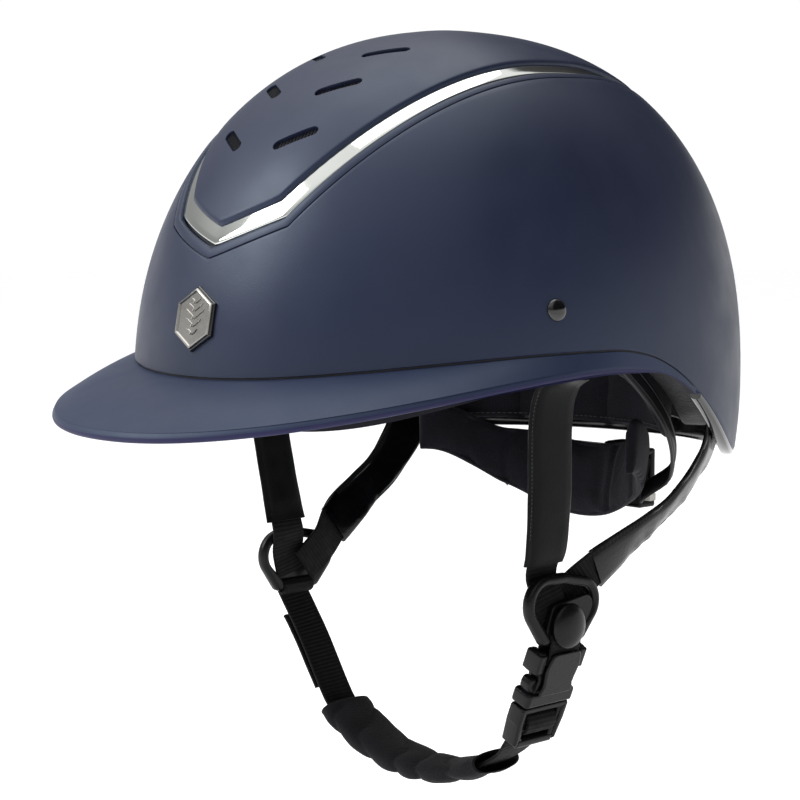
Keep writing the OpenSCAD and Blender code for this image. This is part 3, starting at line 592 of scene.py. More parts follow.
def outer_shell():
    low_out = angle_of(seam_z(turns) + SEAM_HALF, 0)
    low_in = angle_of(seam_z(turns) + SEAM_HALF, 3)
    groove, lip = edge_angle(turns, GROOVE_EDGE), edge_angle(turns, CHANNEL_EDGE)
    w = 0.14
    pairs = [(a, CHANNEL_DEPTH) for a in (89.8, 89.2, 88, 85, 80, 74)]
    pairs += [(mix(lip, 72, t), CHANNEL_DEPTH) for t in (0.8, 0.5, 0.25)]
    pairs += [(lip + 0.1, CHANNEL_DEPTH), (lip, 2.6), (lip - 0.02, 0.9), (lip - 0.1, 0.4), (lip - 0.26, 0.12),
              (lip - 0.5, 0), (mix(lip, groove, 0.5), 0), (groove + 2 * w, 0), (groove + w, 0.08), (groove + w / 2, 0.75),
              (groove - w / 2, 0.75), (groove - w, 0.08), (groove - 2 * w, 0)]
    pairs += [(mix(groove, low_out, t), 0) for t in np.linspace(0.03, 0.985, 34)]
    pairs += [(mix(groove, low_out, 0.997), 0.02), (low_out, 0.35), (low_in, 2.7), (low_in + 0.3, 3)]
    pairs += [(mix(low_in, 84, t), 3 + 2.2 * smooth((t - 0.5) / 0.3)) for t in np.linspace(0.05, 1, 20)]
    pairs += [(88, 5.2), (89.6, 5.2)]
    points, faces = closed_dome(dome_rows(pairs), (0, 0, HEIGHT - CHANNEL_DEPTH), (0, 0, HEIGHT - 5.2))
    obj = add_mesh("shell_skin", points, faces, [SHELL, GLOSS], "helmet", "shell", ["outer_shell"])
    outward(obj)
    for poly in obj.data.polygons:
        poly.material_index = 1 if poly.index < 10 * len(turns) or poly.index >= len(faces) - 2 * len(turns) else 0
    return obj


def stadium(length, width, steps=8):
    out = []
    for s in (1, -1):
        for i in range(steps + 1):
            a = math.radians((-90 if s > 0 else 90) + 180 * i / steps)
            out.append((s * (length - width) / 2 + width / 2 * math.cos(a), width / 2 * math.sin(a)))
    return np.array(out)


def vent_places():
    for phi, a in VENTS:
        yield on_dome(phi, a, VENT_SLANT), False
    for phi, a in VENTS:
        yield on_dome(phi, a, VENT_SLANT), True


def cut_vents(obj, flare=0.9):
    """Cuts the six slots, with a small chamfer where they meet the face."""
    parts = []
    for place, flip in vent_places():
        p, f = prism(stadium(VENT_LENGTH, VENT_WIDTH), [(-8, 0), (-0.6, 0), (0.5, flare), (3, 2.2 * flare)], place)
        parts.append(mirrored(p, f) if flip else (p, f))
    points, faces = join_parts(parts)
    mesh = bpy.data.meshes.new("vent_cutter")
    mesh.from_pydata((points * MM).tolist(), [], faces)
    cutter = bpy.data.objects.new("vent_cutter", mesh)
    bpy.context.scene.collection.objects.link(cutter)
    outward(cutter)
    modifier = obj.modifiers.new("vents", "BOOLEAN")
    modifier.operation, modifier.object, modifier.solver = "DIFFERENCE", cutter, "EXACT"
    apply_modifiers(obj)
    bpy.data.objects.remove(cutter)


def apply_modifiers(obj):
    """Replaces the object's mesh by what its modifiers make of it."""
    depsgraph = bpy.context.evaluated_depsgraph_get()
    mesh = bpy.data.meshes.new_from_object(obj.evaluated_get(depsgraph))
    obj.modifiers.clear()
    old, obj.data = obj.data, mesh
    bpy.data.meshes.remove(old)
    return obj


def crown_panel():
    edge = edge_angle(turns, PANEL_EDGE)
    r = 2.4
    rounding = [(edge + r * (1 - math.cos(t)) / MM_PER_DEGREE, r * (1 - math.sin(t)) * 0.85)
                for t in np.radians([85, 70, 55, 40, 25, 10, 0])]
    pairs = [(a, 0) for a in (89.8, 89.2, 88.2, 87, 85)]
    pairs += [(mix(84, edge + 1.4, t), 0) for t in np.linspace(0, 1, 26)]
    pairs += rounding + [(edge + 0.1, 2.3)]
    pairs += [(mix(edge + 0.5, 85, t), 2) for t in np.linspace(0, 1, 14)] + [(89, 2)]
    points, faces = closed_dome(dome_rows(pairs), (0, 0, HEIGHT), (0, 0, HEIGHT - 2))
    obj = add_mesh("crown_panel_skin", points, faces, SHELL, "helmet", "shell", ["crown_panel"])
    outward(obj)
    cut_vents(obj)
    return obj


def channel_band(name, material, slot, stands_for, pairs):
    rows = dome_rows(pairs)
    obj = add_mesh(name, rows, grid_faces(len(rows), len(turns), True, True), material, "helmet", slot, stands_for)
    outward(obj)
    return obj


def trims():
    lip, edge = edge_angle(turns, CHANNEL_EDGE), edge_angle(turns, PANEL_EDGE)
    low, high = lip + 0.45, edge + 0.35
    channel_band("chrome_band", CHROME, "chrome_trim", ["chrome_trim"],
                 [(low, 2.5), (low, 1.75), (low + 0.04, 1.5), (low + 0.16, 1.25), (low + 0.42, 1.1),
                  (mix(low, high, 0.4), 1.2), (mix(low, high, 0.7), 1.35), (high, 1.5), (high, 2.5), (mix(low, high, 0.5), 2.5)])
    channel_band("channel_floor", GLOSS, "gloss_black", ["channel_liner"],
                 [(lip + 0.15, 3.1), (lip + 0.15, 2.75), (edge + 1.2, 2.75), (edge + 1.2, 3.1)])


def vent_grilles():
    """Woven grilles below the slots: two layers of fine wires."""
    parts = []
    for place, flip in vent_places():
        mine = []
        for i in range(13):
            x = (i - 6) * VENT_LENGTH / 13
            mine.append(wire((x - 1, -VENT_WIDTH / 2 - 0.4), (x + 1, VENT_WIDTH / 2 + 0.4), -1.6, place))
        for y in (-1.6, -0.55, 0.55, 1.6):
            mine.append(wire((-VENT_LENGTH / 2, y), (VENT_LENGTH / 2, y), -1.9, place))
        p, f = join_parts(mine)
        parts.append(mirrored(p, f) if flip else (p, f))
    points, faces = join_parts(parts)
    obj = add_mesh("vent_grilles", points, faces, WIRE, "helmet", "gloss_black", ["vent_mesh"])
    outward(obj)


def wire(start, end, height, place, radius=0.2):
    """A thin round wire between two points of a local frame."""
    a, b = np.array([*start, height]), np.array([*end, height])
    along = unit(b - a)
    side = unit(np.cross(along, [0, 0, 1]))
    rows = []
    for p in (a, b):
        rows.append([p + radius * (math.cos(t) * side + math.sin(t) * np.array([0, 0, 1]))
                     for t in np.radians(np.arange(0, 360, 60))])
    rows = np.array(rows)
    faces = grid_faces(2, 6, close_cols=True) + [tuple(range(6)), tuple(range(11, 5, -1))]
    return placed(rows.reshape(-1, 3), place), faces


# ---- Peak ----


def peak_out(phi):
    c = np.maximum(0, np.cos(np.radians(0.95 * phi)))
    return np.maximum(0.3, 37.3 * c ** 2.4 + 1.7 * np.sqrt(c))


def peak_lip_z(phi):
    p = np.abs(phi)
    return np.minimum(mix(-9.2, 11.4, smooth(p / 86)), seam_z(phi) - 0.75 - mix(4.9, 1.4, smooth((p - 85) / 18)))


def brim(phi, t, drop):
    """Point on the peak's top, t of the way from the shell to the lip, lowered by drop."""
    root = dome_z(phi, seam_z(phi) - SEAM_HALF, 0)
    out = unit(root * [1, 1, 0]) * (peak_out(phi) * t)[..., None]
    sag = (root[..., 2] - peak_lip_z(phi)) * t - 1.5 * np.sin(np.pi * t) * np.clip(peak_out(phi) / 30, 0, 1)
    return root + out - np.stack([sag * 0, sag * 0, sag + drop], -1)


def peak():
    phi = np.linspace(-PEAK_END, PEAK_END, 153)
    top, bottom = seam_z(phi) - SEAM_HALF, rim_z(phi)
    wall = 3.7 * np.clip((top - bottom) / 8, 0.12, 1)
    rows = [dome_z(phi, top - 0.2, 3), dome_z(phi, top, 2.6), dome_z(phi, top, 0.25)]
    rows += [brim(phi, np.full(len(phi), t), 0.15 * (t < 0.01)) for t in (0.004, 0.02, *np.linspace(0.06, 0.94, 22), 0.97)]
    lip = []
    for a in np.radians([70, 45, 20, -5, -30, -55, -80]):
        t = 1 - wall / 2 / np.maximum(peak_out(phi), 4) * (1 - np.cos(a))
        lip.append(brim(phi, t, wall / 2 * (1 - np.sin(a))))
    rows += lip
    rows += [brim(phi, np.full(len(phi), t), wall) for t in (0.93, 0.8, 0.6, 0.4, 0.2, 0.05)]
    rows += [dome_z(phi, bottom, 0), dome_z(phi, bottom, 3)]
    n, m = len(rows), len(phi)
    faces = grid_faces(n, m, close_rows=True)
    faces += [tuple(r * m for r in range(n)), tuple(r * m + m - 1 for r in range(n - 1, -1, -1))]
    # The top of the peak takes the lighter navy: painted light from above.
    obj = add_mesh("peak_skin", rows, faces, [PEAK_PAINTED_LIT, PEAK_LIP, UNDER], "helmet", "peak", ["peak"], sharp=50)
    outward(obj)
    lip_row = n - 8 - len(lip)
    for poly in obj.data.polygons:
        row = poly.index // (m - 1)
        poly.material_index = 0 if row < lip_row + 2 or row >= n - 1 else 1 if row < lip_row + len(lip) + 1 else 2
    return obj


def band_strip(name, phi, pairs, material, slot, stands_for):
    """Open band round part of the dome, from (height, depth) pairs."""
    rows = np.array([dome_z(wrap(phi), z, off) for z, off in pairs])
    n, m = len(rows), len(phi)
    faces = grid_faces(n, m, close_rows=True)
    faces += [tuple(r * m for r in range(n)), tuple(r * m + m - 1 for r in range(n - 1, -1, -1))]
    obj = add_mesh(name, rows, faces, material, "helmet", slot, stands_for)
    outward(obj)
    return obj


def seals():
    phi = np.linspace(-PEAK_END, PEAK_END, 153)
    z = seam_z(phi)
    band_strip("joint_seal", phi, [(z - 0.4, 0.9), (z + 0.4, 0.9), (z + 0.4, 3), (z - 0.4, 3)], RUBBER, "seal",
               ["peak_gasket"])
    phi = np.linspace(TRIM_START, 360 - TRIM_START, 120)
    z = seam_z(wrap(phi)) + 0.75
    band_strip("rear_rim", phi, [(z - 2.2, 0.5), (z - 1.2, 0.15), (z - 0.5, 0.2), (z - 0.2, 0.9), (z - 0.2, 3.3),
                                 (z + 4, 3.5), (z + 14, 3.9), (z + 14, 4.7), (z + 6, 4.6), (z + 1, 4.5), (z - 1, 4.6),
                                 (z - 2.2, 4.2), (z - 2.6, 3.2), (z - 2.6, 1.4)], GLOSS, "gloss_black", ["rear_rim_trim"])


# ---- Badge and pins ----


def hexagon(radius):
    return np.array([(radius * math.cos(math.radians(30 + 60 * i)), radius * math.sin(math.radians(30 + 60 * i)))
                     for i in range(6)])


def badge():
    place = on_dome(0, 11.9)
    points, faces = prism(hexagon(11.8), [(-0.4, 0), (0.45, 0), (0.8, -0.3), (0.9, -0.9)], place)
    outward(add_mesh("badge_mount", points, faces, GLOSS, "helmet", "gloss_black", ["badge_base"], sharp=25))
    rim = 10.9
    parts = [prism(hexagon(rim), [(0.7, 0), (1.3, 0), (1.7, -0.25), (1.8, -0.6), (1.8, -0.95), (1.3, -1.4), (1.3, -9)],
                   place)]
    for side in (-1, 1):
        for i, y in enumerate((-5.6, -2.8, 0, 2.8, 5.6)):
            reach = 7.2 - 0.55 * abs(y)
            bar = np.array([(0.7, -0.55), (reach - 1.2, -0.55), (reach, 0), (reach - 1.2, 0.55), (0.7, 0.55)])
            turn = math.radians(side * 32)
            spin = np.array([[math.cos(turn), math.sin(turn)], [-math.sin(turn), math.cos(turn)]])
            shape = (bar * [side, 1] - [side * 0.4, 0]) @ spin + [0, y]
            parts.append(prism(shape, [(1.2, 0), (1.6, -0.1), (1.75, -0.4)], place))
    points, faces = join_parts(parts)
    outward(add_mesh("badge_face", points, faces, GUNMETAL, "helmet", "badge_metal", ["badge_plate"], sharp=25))


def side_pins():
    place = on_dome(73.1, float(angle_of(32, 0)), (0, 1, 0))
    profile = [(2, -5), (2, -0.2), (3.9, -0.2), (4.0, 0.15), (3.85, 0.45), (3.4, 0.85), (2.6, 1.2), (1.6, 1.42),
               (0.6, 1.5)]
    shape = lathe(profile, place)
    for name, (p, f) in (("left", shape), ("right", mirrored(*shape))):
        outward(add_mesh(f"rivet_{name}", p, f, GLOSS, "helmet", "soft_plastic", [f"side_pin_{name}"], sharp=60))


# ---- Liner, headband and pads ----


def foam_liner():
    low_out, low_in = angle_of(liner_z(turns), 7), angle_of(liner_z(turns), 22)
    pairs = [(a, 7) for a in (89.5, 88, 84, 78, 70)]
    pairs += [(mix(70, low_out, t), 7) for t in np.linspace(0.15, 0.98, 14)]
    pairs += [(low_out + 0.1, 7.3), (mix(low_out, low_in, 0.08) - 0.3, 8.4), (mix(low_out, low_in, 0.5) - 0.4, 14),
              (mix(low_out, low_in, 0.92) - 0.3, 20.2), (low_in + 0.1, 21.6)]
    for t in np.linspace(0.03, 1, 22):
        a = mix(low_in, 82, t)
        channel = np.exp(-((np.abs(turns) % 60 - 30) / 5.5) ** 2) * smooth((a - 30) / 12) * smooth((80 - a) / 10)
        pairs.append((a, 22 - 3.5 * channel))
    pairs += [(86, 22), (89, 22)]
    points, faces = closed_dome(dome_rows(pairs), (0, 0, HEIGHT - 7), (0, 0, HEIGHT - 22))
    outward(add_mesh("foam_liner", points, faces, FOAM, "helmet", "foam", ["impact_liner"]))


def headband():
    """Padded band: a crowned inner face with a sewn edge along the bottom and upright sewn channels."""
    z0 = headband_z(turns)
    channel = 1 - 0.55 * np.exp(-((np.abs(turns) + 15) % 30 - 15) ** 2 / 3.2)
    section = [(0.4, 0.0), (0, 0.9), (0.1, 1.9)]
    section += [(h, 2.0 + 2.3 * math.sin(math.pi * (h + 1.5) / 33) ** 0.45) for h in (1.2, 2.2, 3.6, 6, 9, 12, 15, 18, 21, 24, 26.5, 28.4)]
    section += [(29.6, 2.4), (30, 1.3), (29.7, 0.2)]
    rows = []
    for h, d in section:
        puff = 1 if d <= 2.4 else channel
        wave = 0.25 * np.sin(np.radians(turns * 11) + h * 0.5) * (d > 2.4)
        rows.append(dome_z(turns, z0 + h, 25.8 + np.clip(d * puff + wave, 0, 4.3)))
    obj = add_mesh("headband_pad", rows, grid_faces(len(rows), len(turns), True, True), LINING, "helmet", "lining",
                   ["comfort_headband"])
    outward(obj)
    line = dome_z(turns, z0 + 2.4, 29.6)
    points, faces = stitches(np.vstack([line, line[:1]]), np.zeros(3) - unit(np.vstack([line, line[:1]]) * [1, 1, 0]))
    outward(add_mesh("headband_stitches", points, faces, THREAD, "helmet", "lining"))


def puff(obj, voxel, cap, pressure=4.0):
    """Fills a soft shape by cloth simulation: voxel remesh, inflate, cap the movement, then subdivide once."""
    remesh = obj.modifiers.new("remesh", "REMESH")
    remesh.mode, remesh.voxel_size = "VOXEL", voxel * MM
    apply_modifiers(obj)
    rest = np.array([v.co for v in obj.data.vertices])
    cloth = obj.modifiers.new("cloth", "CLOTH")
    cloth.settings.quality = 4
    cloth.settings.mass = 0.05
    cloth.settings.tension_stiffness = cloth.settings.compression_stiffness = 8
    cloth.settings.bending_stiffness = 0.3
    cloth.settings.use_pressure = True
    cloth.settings.uniform_pressure_force = pressure
    cloth.settings.effector_weights.gravity = 0
    cloth.point_cache.frame_start, cloth.point_cache.frame_end = 1, 20
    for f in range(1, 21):
        bpy.context.scene.frame_set(f)
    apply_modifiers(obj)
    bpy.context.scene.frame_set(1)
    moved = np.array([v.co for v in obj.data.vertices]) - rest
    size = np.linalg.norm(moved, axis=1, keepdims=True)
    moved *= np.minimum(1, cap * MM / np.maximum(size, 1e-9))
    obj.data.vertices.foreach_set("co", (rest + moved).ravel())
    smoothing = obj.modifiers.new("smooth", "SMOOTH")
    smoothing.factor, smoothing.iterations = 0.5, 3
    subdivision = obj.modifiers.new("subdivision", "SUBSURF")
    subdivision.levels = subdivision.render_levels = 1
    apply_modifiers(obj)
    obj.data.shade_smooth()
    return obj


def pinch(obj, lines, depth, width):
    """Pulls a soft piece in along sewn lines. Each line gives points' distances to it in mm."""
    p = np.array([v.co for v in obj.data.vertices]) / MM
    n = np.array([v.normal for v in obj.data.vertices])
    for distance in lines:
        p -= n * (depth * np.exp(-(distance(p) / width) ** 2))[:, None]
    obj.data.vertices.foreach_set("co", (p * MM).ravel())
    obj.data.update()


def crown_cushion():
    phi = wrap(np.arange(0, 360, 10.0))
    rows = [dome(phi, a, 23.6) for a in (86, 80, 74, 68, 62.5)] + [dome(phi, 61.2, 25.2)]
    rows += [dome(phi, a, 27.4) for a in (62.5, 68, 74, 80, 86)]
    points, faces = closed_dome(rows, (0, 0, HEIGHT - 23.6), (0, 0, HEIGHT - 27.4))
    obj = add_mesh("crown_cushion", points, faces, LINING, "helmet", "lining", ["crown_pad"], sharp=180)
    outward(obj)
    puff(obj, 2.2, 1.6)
    pinch(obj, [lambda p: np.abs(p[:, 0]) - 14, lambda p: np.abs(p[:, 1]) - 19], 1.2, 1.6)


def nape_section(phi, inset):
    """Middle height, half height and depth inside the shell of the nape pad at one direction."""
    q = 360 - phi if phi > 180 else phi
    rise = 13 * (1 - smooth((q - 120) / 28))
    fall, half = 9 * smooth((q - 138) / 42), mix(11.5, 16, smooth((q - 136) / 34)) - inset
    return -38.5 + rise - fall, half, 32.8 + 1.5 * (1 - smooth((q - 124) / 20))


def nape_cushion():
    """Knitted pad at the nape, filled by simulation, with a bound edge and two sewn channels."""
    rows = []
    for phi in np.arange(117.2, 243, 2.2):
        middle, half, off = nape_section(phi, 0.0)
        rows.append([dome_z(wrap(phi), middle + half * h, off + d)
                     for h, d in ((-0.9, 0.5), (-0.5, 0.4), (0, 0.4), (0.5, 0.4), (0.9, 0.5), (1, 2.5), (0.9, 4.4), (0.5, 4.9),
                                  (0, 4.9), (-0.5, 4.9), (-0.9, 4.4), (-1, 2.5))])
    points, faces, _ = sweep(rows)
    obj = add_mesh("nape_cushion", points, faces, LINING, "fit_cradle", "lining", ["nape_pad"], sharp=180)
    outward(obj)
    puff(obj, 2.0, 1.5)
    pinch(obj, [lambda p, k=k: np.abs(p[:, 0]) - k for k in (17, 36, 48)], 1.1, 1.5)
    edge = []
    for h, phis in ((-1, np.arange(119, 241.5, 1.5)), (1, np.arange(241, 118.5, -1.5))):
        for phi in phis:
            middle, half, off = nape_section(phi, 1.7)
            edge.append(dome_z(wrap(phi), middle + half * h, off + 2.6))
    edge = np.array(edge)
    binding = closed_tube(edge, 1.0)
    outward(add_mesh("nape_binding", *binding, LINING, "fit_cradle", "lining"))


def closed_tube(line, radius, sides=8):
    """A tube round a closed line of points."""
    along = unit(np.roll(line, -1, 0) - np.roll(line, 1, 0))
    side = unit(np.cross(along, [0.05, 0.1, 1]))
    up = np.cross(side, along)
    ring = [line + radius * (math.cos(q) * side + math.sin(q) * up) for q in np.radians(np.arange(0, 360, 360 / sides))]
    rows = np.stack(ring, 1)
    return rows.reshape(-1, 3), grid_faces(len(line), sides, True, True)


# ---- Fit cradle ----


def dome_bar(phis, middle, half, off, wall):
    """A band that follows the inside of the helmet, with round edges. middle, half and off are for each direction."""
    rows = []
    r = wall / 2
    for i, phi in enumerate(phis):
        m, h, o = middle[i], half[i], off[i]
        ring = [(-h + r - r * math.cos(q), r + r * math.sin(q)) for q in np.radians([-90, -45, 0, 45, 90])]
        ring += [(h - r + r * math.cos(q), r + r * math.sin(q)) for q in np.radians([90, 45, 0, -45, -90])]
        rows.append([dome_z(wrap(phi), m + a, o + b) for a, b in ring])
    points, faces, _ = sweep(rows)
    return points, faces


def cradle():
    phi = np.arange(92, 149, 2.0)
    z = 22 - 68 * ((phi - 90) / 55) ** 0.9
    off = mix(22.8, 30.7, smooth((phi - 138) / 10))
    half = np.full(len(phi), 4.0)
    arm = dome_bar(phi, z, half, off, 1.4)
    ribs = [dome_bar(phi[2:-1], z[2:-1] + k, np.full(len(phi) - 3, 0.5), off[2:-1] - 0.35, 1.0) for k in (-2.4, 2.4)]
    disc = lathe([(1, 0), (5.8, 0), (6.4, 0.35), (6.4, 1.1), (6.0, 1.5), (4.9, 1.5), (4.6, 1.25), (1, 1.25)],
                 place_at((0, 0, -1), (0, -1, 0), (78.5, 0, 22)))
    add_pair("cradle_arm", join_parts([arm, *ribs, disc]), SATIN, "fit_cradle", "soft_plastic", ["cradle_arm"])
    phi = np.arange(148, 213, 2.0)
    q = np.where(phi > 180, 360 - phi, phi)
    middle = -40 - 8 * smooth((q - 150) / 30)
    half = mix(5, 9.5, smooth((q - 150) / 20))
    off = np.full(len(phi), 30.7)
    plate_part = dome_bar(phi, middle, half, off, 1.8)
    rims = [dome_bar(phi, middle + k * (half - 1.2), np.full(len(phi), 1.0), off - 0.8, 1.2) for k in (-1, 1)]
    points, faces = join_parts([plate_part, *rims])
    outward(add_mesh("nape_frame", points, faces, SATIN, "fit_cradle", "soft_plastic", ["nape_cradle"]))


def box_plate(low, high, rounding, axis):
    """A rounded block between two corners, built as a plate across one axis."""
    low, high = np.array(low, float), np.array(high, float)
    middle, size = (low + high) / 2, high - low
    u, v = [(1, 2), (2, 0), (0, 1)][axis]
    corners = [(-size[u] / 2, -size[v] / 2), (size[u] / 2, -size[v] / 2), (size[u] / 2, size[v] / 2),
               (-size[u] / 2, size[v] / 2)]
    x, y = np.zeros(3), np.zeros(3)
    x[u] = y[v] = 1
    return plate([rounded(corners, rounding * 1.4, 4)], size[axis], rounding, place_at(x, y, middle))


def dial():
    y0, z0 = 94.7, -46.0
    parts = [box_plate((-24, y0, z0 - 12.5), (24, y0 + 2, z0 + 12.5), 0.8, 1),
             box_plate((-24, y0 + 7, z0 - 12.5), (24, y0 + 10, z0 + 12.5), 1.1, 1),
             box_plate((-24, y0, z0 + 9.8), (24, y0 + 10, z0 + 12.5), 1.0, 1),
             box_plate((-24, y0, z0 - 12.5), (24, y0 + 10, z0 - 9.8), 1.0, 1)]
    for side in (-1, 1):
        for k in range(4):
            x = side * (16.2 + 1.9 * k)
            parts.append(box_plate((x - 0.45, y0 + 9.7, z0 - 7), (x + 0.45, y0 + 10.4, z0 + 7), 0.3, 1))
    points, faces = join_parts(parts)
    add_mesh("dial_case", points, faces, SATIN, "fit_cradle", "soft_plastic", ["dial_housing"])
    grips, steps = 18, 10
    ang = np.radians(np.arange(grips * steps) * 360 / (grips * steps))
    scallop = np.clip(np.cos(ang * grips) - 0.1, 0, 1) ** 0.6 * 1.3
    rows = []
    for r, h, share in ((2, 0, 0), (13, 0, 0), (13.6, 0.3, 0.8), (14, 0.9, 1), (14, 6.6, 1), (13.7, 7.4, 1),
                        (13, 7.9, 0.7), (12, 8.0, 0.2), (11.2, 7.9, 0), (10.8, 7.3, 0), (9.8, 7.1, 0), (4, 7.0, 0),
                        (3.6, 7.3, 0), (3.0, 7.5, 0), (1, 7.5, 0)):
        radius = r - scallop * share
        rows.append(np.stack([radius * np.cos(ang), radius * np.sin(ang), np.full(len(ang), h)], -1))
    place = place_at((1, 0, 0), (0, 0, -1), (0, y0 + 10.4, z0))
    rows = np.array(rows)
    n, m = rows.shape[:2]
    faces = grid_faces(n, m, close_cols=True) + [tuple(range(m - 1, -1, -1)), tuple(range((n - 1) * m, n * m))]
    knob = placed(rows.reshape(-1, 3), place), faces
    shaft = lathe([(0.5, -3.2), (2.9, -3.2), (3, -3), (3, 0.3), (0.5, 0.3)], place)
    arrows = []
    for k in range(6):
        q = math.radians(60 * k)
        bar = rounded([(5.4, -0.5), (8.8, -0.9), (8.8, 0.9), (5.4, 0.5)], 0.4, 3)
        spin = np.array([[math.cos(q), math.sin(q)], [-math.sin(q), math.cos(q)]])
        arrows.append(prism(bar @ spin, [(6.9, 0), (7.5, -0.1), (7.6, -0.3)], place))
    points, faces = join_parts([knob, shaft, *arrows])
    outward(add_mesh("adjuster_knob", points, faces, SATIN, "dial", "gloss_black", ["dial_knob"], sharp=35))


def plain_nodes():
    """CAD nodes whose shape is right: they only get a material."""
    for name, material in (("dial_pinion", NYLON), ("rack_left", NYLON), ("rack_right", NYLON), ("strap_anchors", STEEL),
                           ("temple_pins", SATIN)):
        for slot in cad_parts[name].material_slots:
            slot.material = material


# ---- Harness ----

# Routes of the straps on the wearer's left: a point and the direction of the strap's width.
ACROSS, ALONG = (0, 1, 0), (0, 0.62, -0.79)
FRONT_ROUTE = [((96.8, -25, 20), (0.2, 1, 0)), ((96.8, -24.6, 12.5), (0.2, 1, 0)), ((91.4, -24.6, 8), (0.1, 1, 0)),
               ((84.9, -24.6, 3), (0.1, 1, 0)), ((81.2, -24, -9), (0.1, 1, 0)), ((78.2, -21, -36), (0.1, 1, 0)),
               ((75.2, -19.2, -56), (0.05, 1, 0)), ((72.4, -18.9, -65.5), ACROSS), ((72.7, -18.4, -70), ACROSS),
               ((74.4, -17.2, -76), ACROSS), ((74.8, -15, -85), ACROSS)]
REAR_ROUTE = [((85.8, 65.4, 2), (-0.4, 0.92, 0)), ((85.6, 65, -13), (-0.4, 0.92, 0)), ((84, 61, -28), (-0.5, 0.8, -0.35)),
              ((81.6, 45, -45), (-0.55, 0.6, -0.6)), ((79.6, 31, -53.5), (-0.5, 0.54, -0.68)),
              ((76.6, 14, -62.5), (-0.3, 0.59, -0.75)), ((72.2, 2, -72.5), ALONG), ((71.4, -3, -76.5), ALONG),
              ((71.2, -11, -82.5), ALONG)]
WEB = rounded_bar(16, 1.5)
# Level of the buckle and the dividers, and of the chin strap's cover.
LEVEL, CHIN_LEVEL = -12.0, -8.0


def sleeve_outline():
    """Section of a flattened tube with a welded flange on its front edge."""
    return np.array([(10.2, 0), (9.95, 0.85), (9.1, 1.4), (6, 1.62), (0, 1.66), (-5, 1.6), (-6.8, 1.3), (-7.5, 0.75),
                     (-7.9, 0.5), (-8.5, 0.72), (-9.1, 0.5), (-9.6, 0.62), (-10.1, 0.45), (-10.3, 0), (-10.1, -0.4),
                     (-8, -0.45), (-7.4, -0.9), (-6.5, -1.4), (-5, -1.6), (0, -1.66), (6, -1.62), (9.1, -1.4),
                     (9.95, -0.85)])


def wander(t, y=0.0, z=0.0):
    """Smooth noise from about -1 to 1."""
    return noise.noise(Vector((t, y, z))) * 1.6


def harness_straps():
    add_pair("front_strap", ribbon(FRONT_ROUTE, WEB), WEBBING, "helmet", "webbing", ["front_strap"])
    add_pair("rear_strap", ribbon(REAR_ROUTE, WEB), WEBBING, "helmet", "webbing", ["rear_strap"])
    flat = sleeve_outline()

    def upright(t, o):
        o[:, 0] *= 1 + 0.012 * wander(t * 7, 3.1)
        o[:, 1] *= 1 + 0.16 * wander(t * 5, 1.7)
        o[:, 1] += 0.18 * wander(t * 4, 8.2) * (np.abs(o[:, 0]) < 7)
        return o

    def creased(t, o):
        across = o[:, 0] / 10
        fold = sum(a * np.exp(-((t - c - 0.10 * across) / w) ** 2) for c, w, a in
                   ((0.18, 0.035, -1.1), (0.30, 0.03, 0.9), (0.44, 0.04, -1.2), (0.56, 0.03, 1.0), (0.70, 0.04, -0.9)))
        pinch_in = 0.9 - 0.16 * math.exp(-((t - 0.55) / 0.25) ** 2)
        o[:, 1] = o[:, 1] * (1 + 0.15 * fold * np.sign(o[:, 1])) + 0.4 * fold * across + 0.15 * wander(t * 9, 5.5)
        o[:, 0] *= pinch_in
        return o

    shape = ribbon(FRONT_ROUTE[2:7] + [((73.4, -19, -62.5), ACROSS)], flat, upright, step=0.9)
    add_pair("front_sleeve", shape, SLEEVE, "helmet", "smooth_sleeve", ["front_sleeve"])
    line = spline([(*p, *w) for p, w in FRONT_ROUTE[3:7]], 1)
    seam = line[:, :3] + unit(line[:, 3:]) * -9.3 + [0.75, 0, 0]
    add_pair("front_seam", stitches(seam[:-3], (1, 0, 0), 1.5, 1.0, 0.13), THREAD, "helmet", "smooth_sleeve", [])
    shape = ribbon(REAR_ROUTE[1:5] + [((74.6, 8.2, -67.6), (-0.15, 0.61, -0.77))], flat, creased, step=0.8)
    add_pair("rear_sleeve", shape, GLAZED, "helmet", "smooth_sleeve", ["rear_sleeve"])


def side_place(x, y=0.0, z=0.0):
    """Local X to the rear, local Y up, outward to the wearer's left."""
    return place_at((0, 1, 0), (0, 0, 1), (x, y, z))


def dividers():
    outer = hull([(-20.5, -77.2, 10.8), (-12, -76.6, 10.2), (-1.8, -78.4, 9.8), (-21.5, -89.5, 3), (-2.5, -89.5, 3)])
    inner = hull([(-20.5, -77.2, 6.8), (-12, -76.6, 6.2), (-1.8, -78.4, 5.8), (-18.8, -87.4, 1.2), (-5.2, -87.4, 1.2)])
    ring = plate([outer, inner[::-1]], 4.8, 2.0, side_place(76), steps=5)
    web = plate([hull([(-20.5, -88.3, 1.6), (-3.5, -88.3, 1.6), (-16, -80.5, 3), (-0.5, -79.5, 4)])], 2.2, 0.6,
                side_place(77))
    add_pair("strap_divider", join_parts([ring, web]), BUCKLE, "helmet", "buckle_plastic", ["divider"], recalc=False)
    profile = [(1.2, -4.2), (2.4, -4.2), (2.4, -0.3), (7.9, -0.3), (8.35, -0.05), (8.5, 0.4), (8.35, 0.85), (7.6, 1.6),
               (6.2, 2.35), (4.4, 2.95), (2.4, 3.3), (0.6, 3.4)]
    for side, z, k, x in (("left", -85.7, 1, 79.9), ("right", -79.4, 0.57, 78.5)):
        shape = lathe([(r * k, h * k) for r, h in profile], side_place(x, LEVEL, z), 64)
        if side == "right":
            shape = mirrored(*shape)
        outward(add_mesh(f"divider_boss_{side}", *shape, BUCKLE, "helmet", "buckle_plastic", [f"divider_cap_{side}"]))


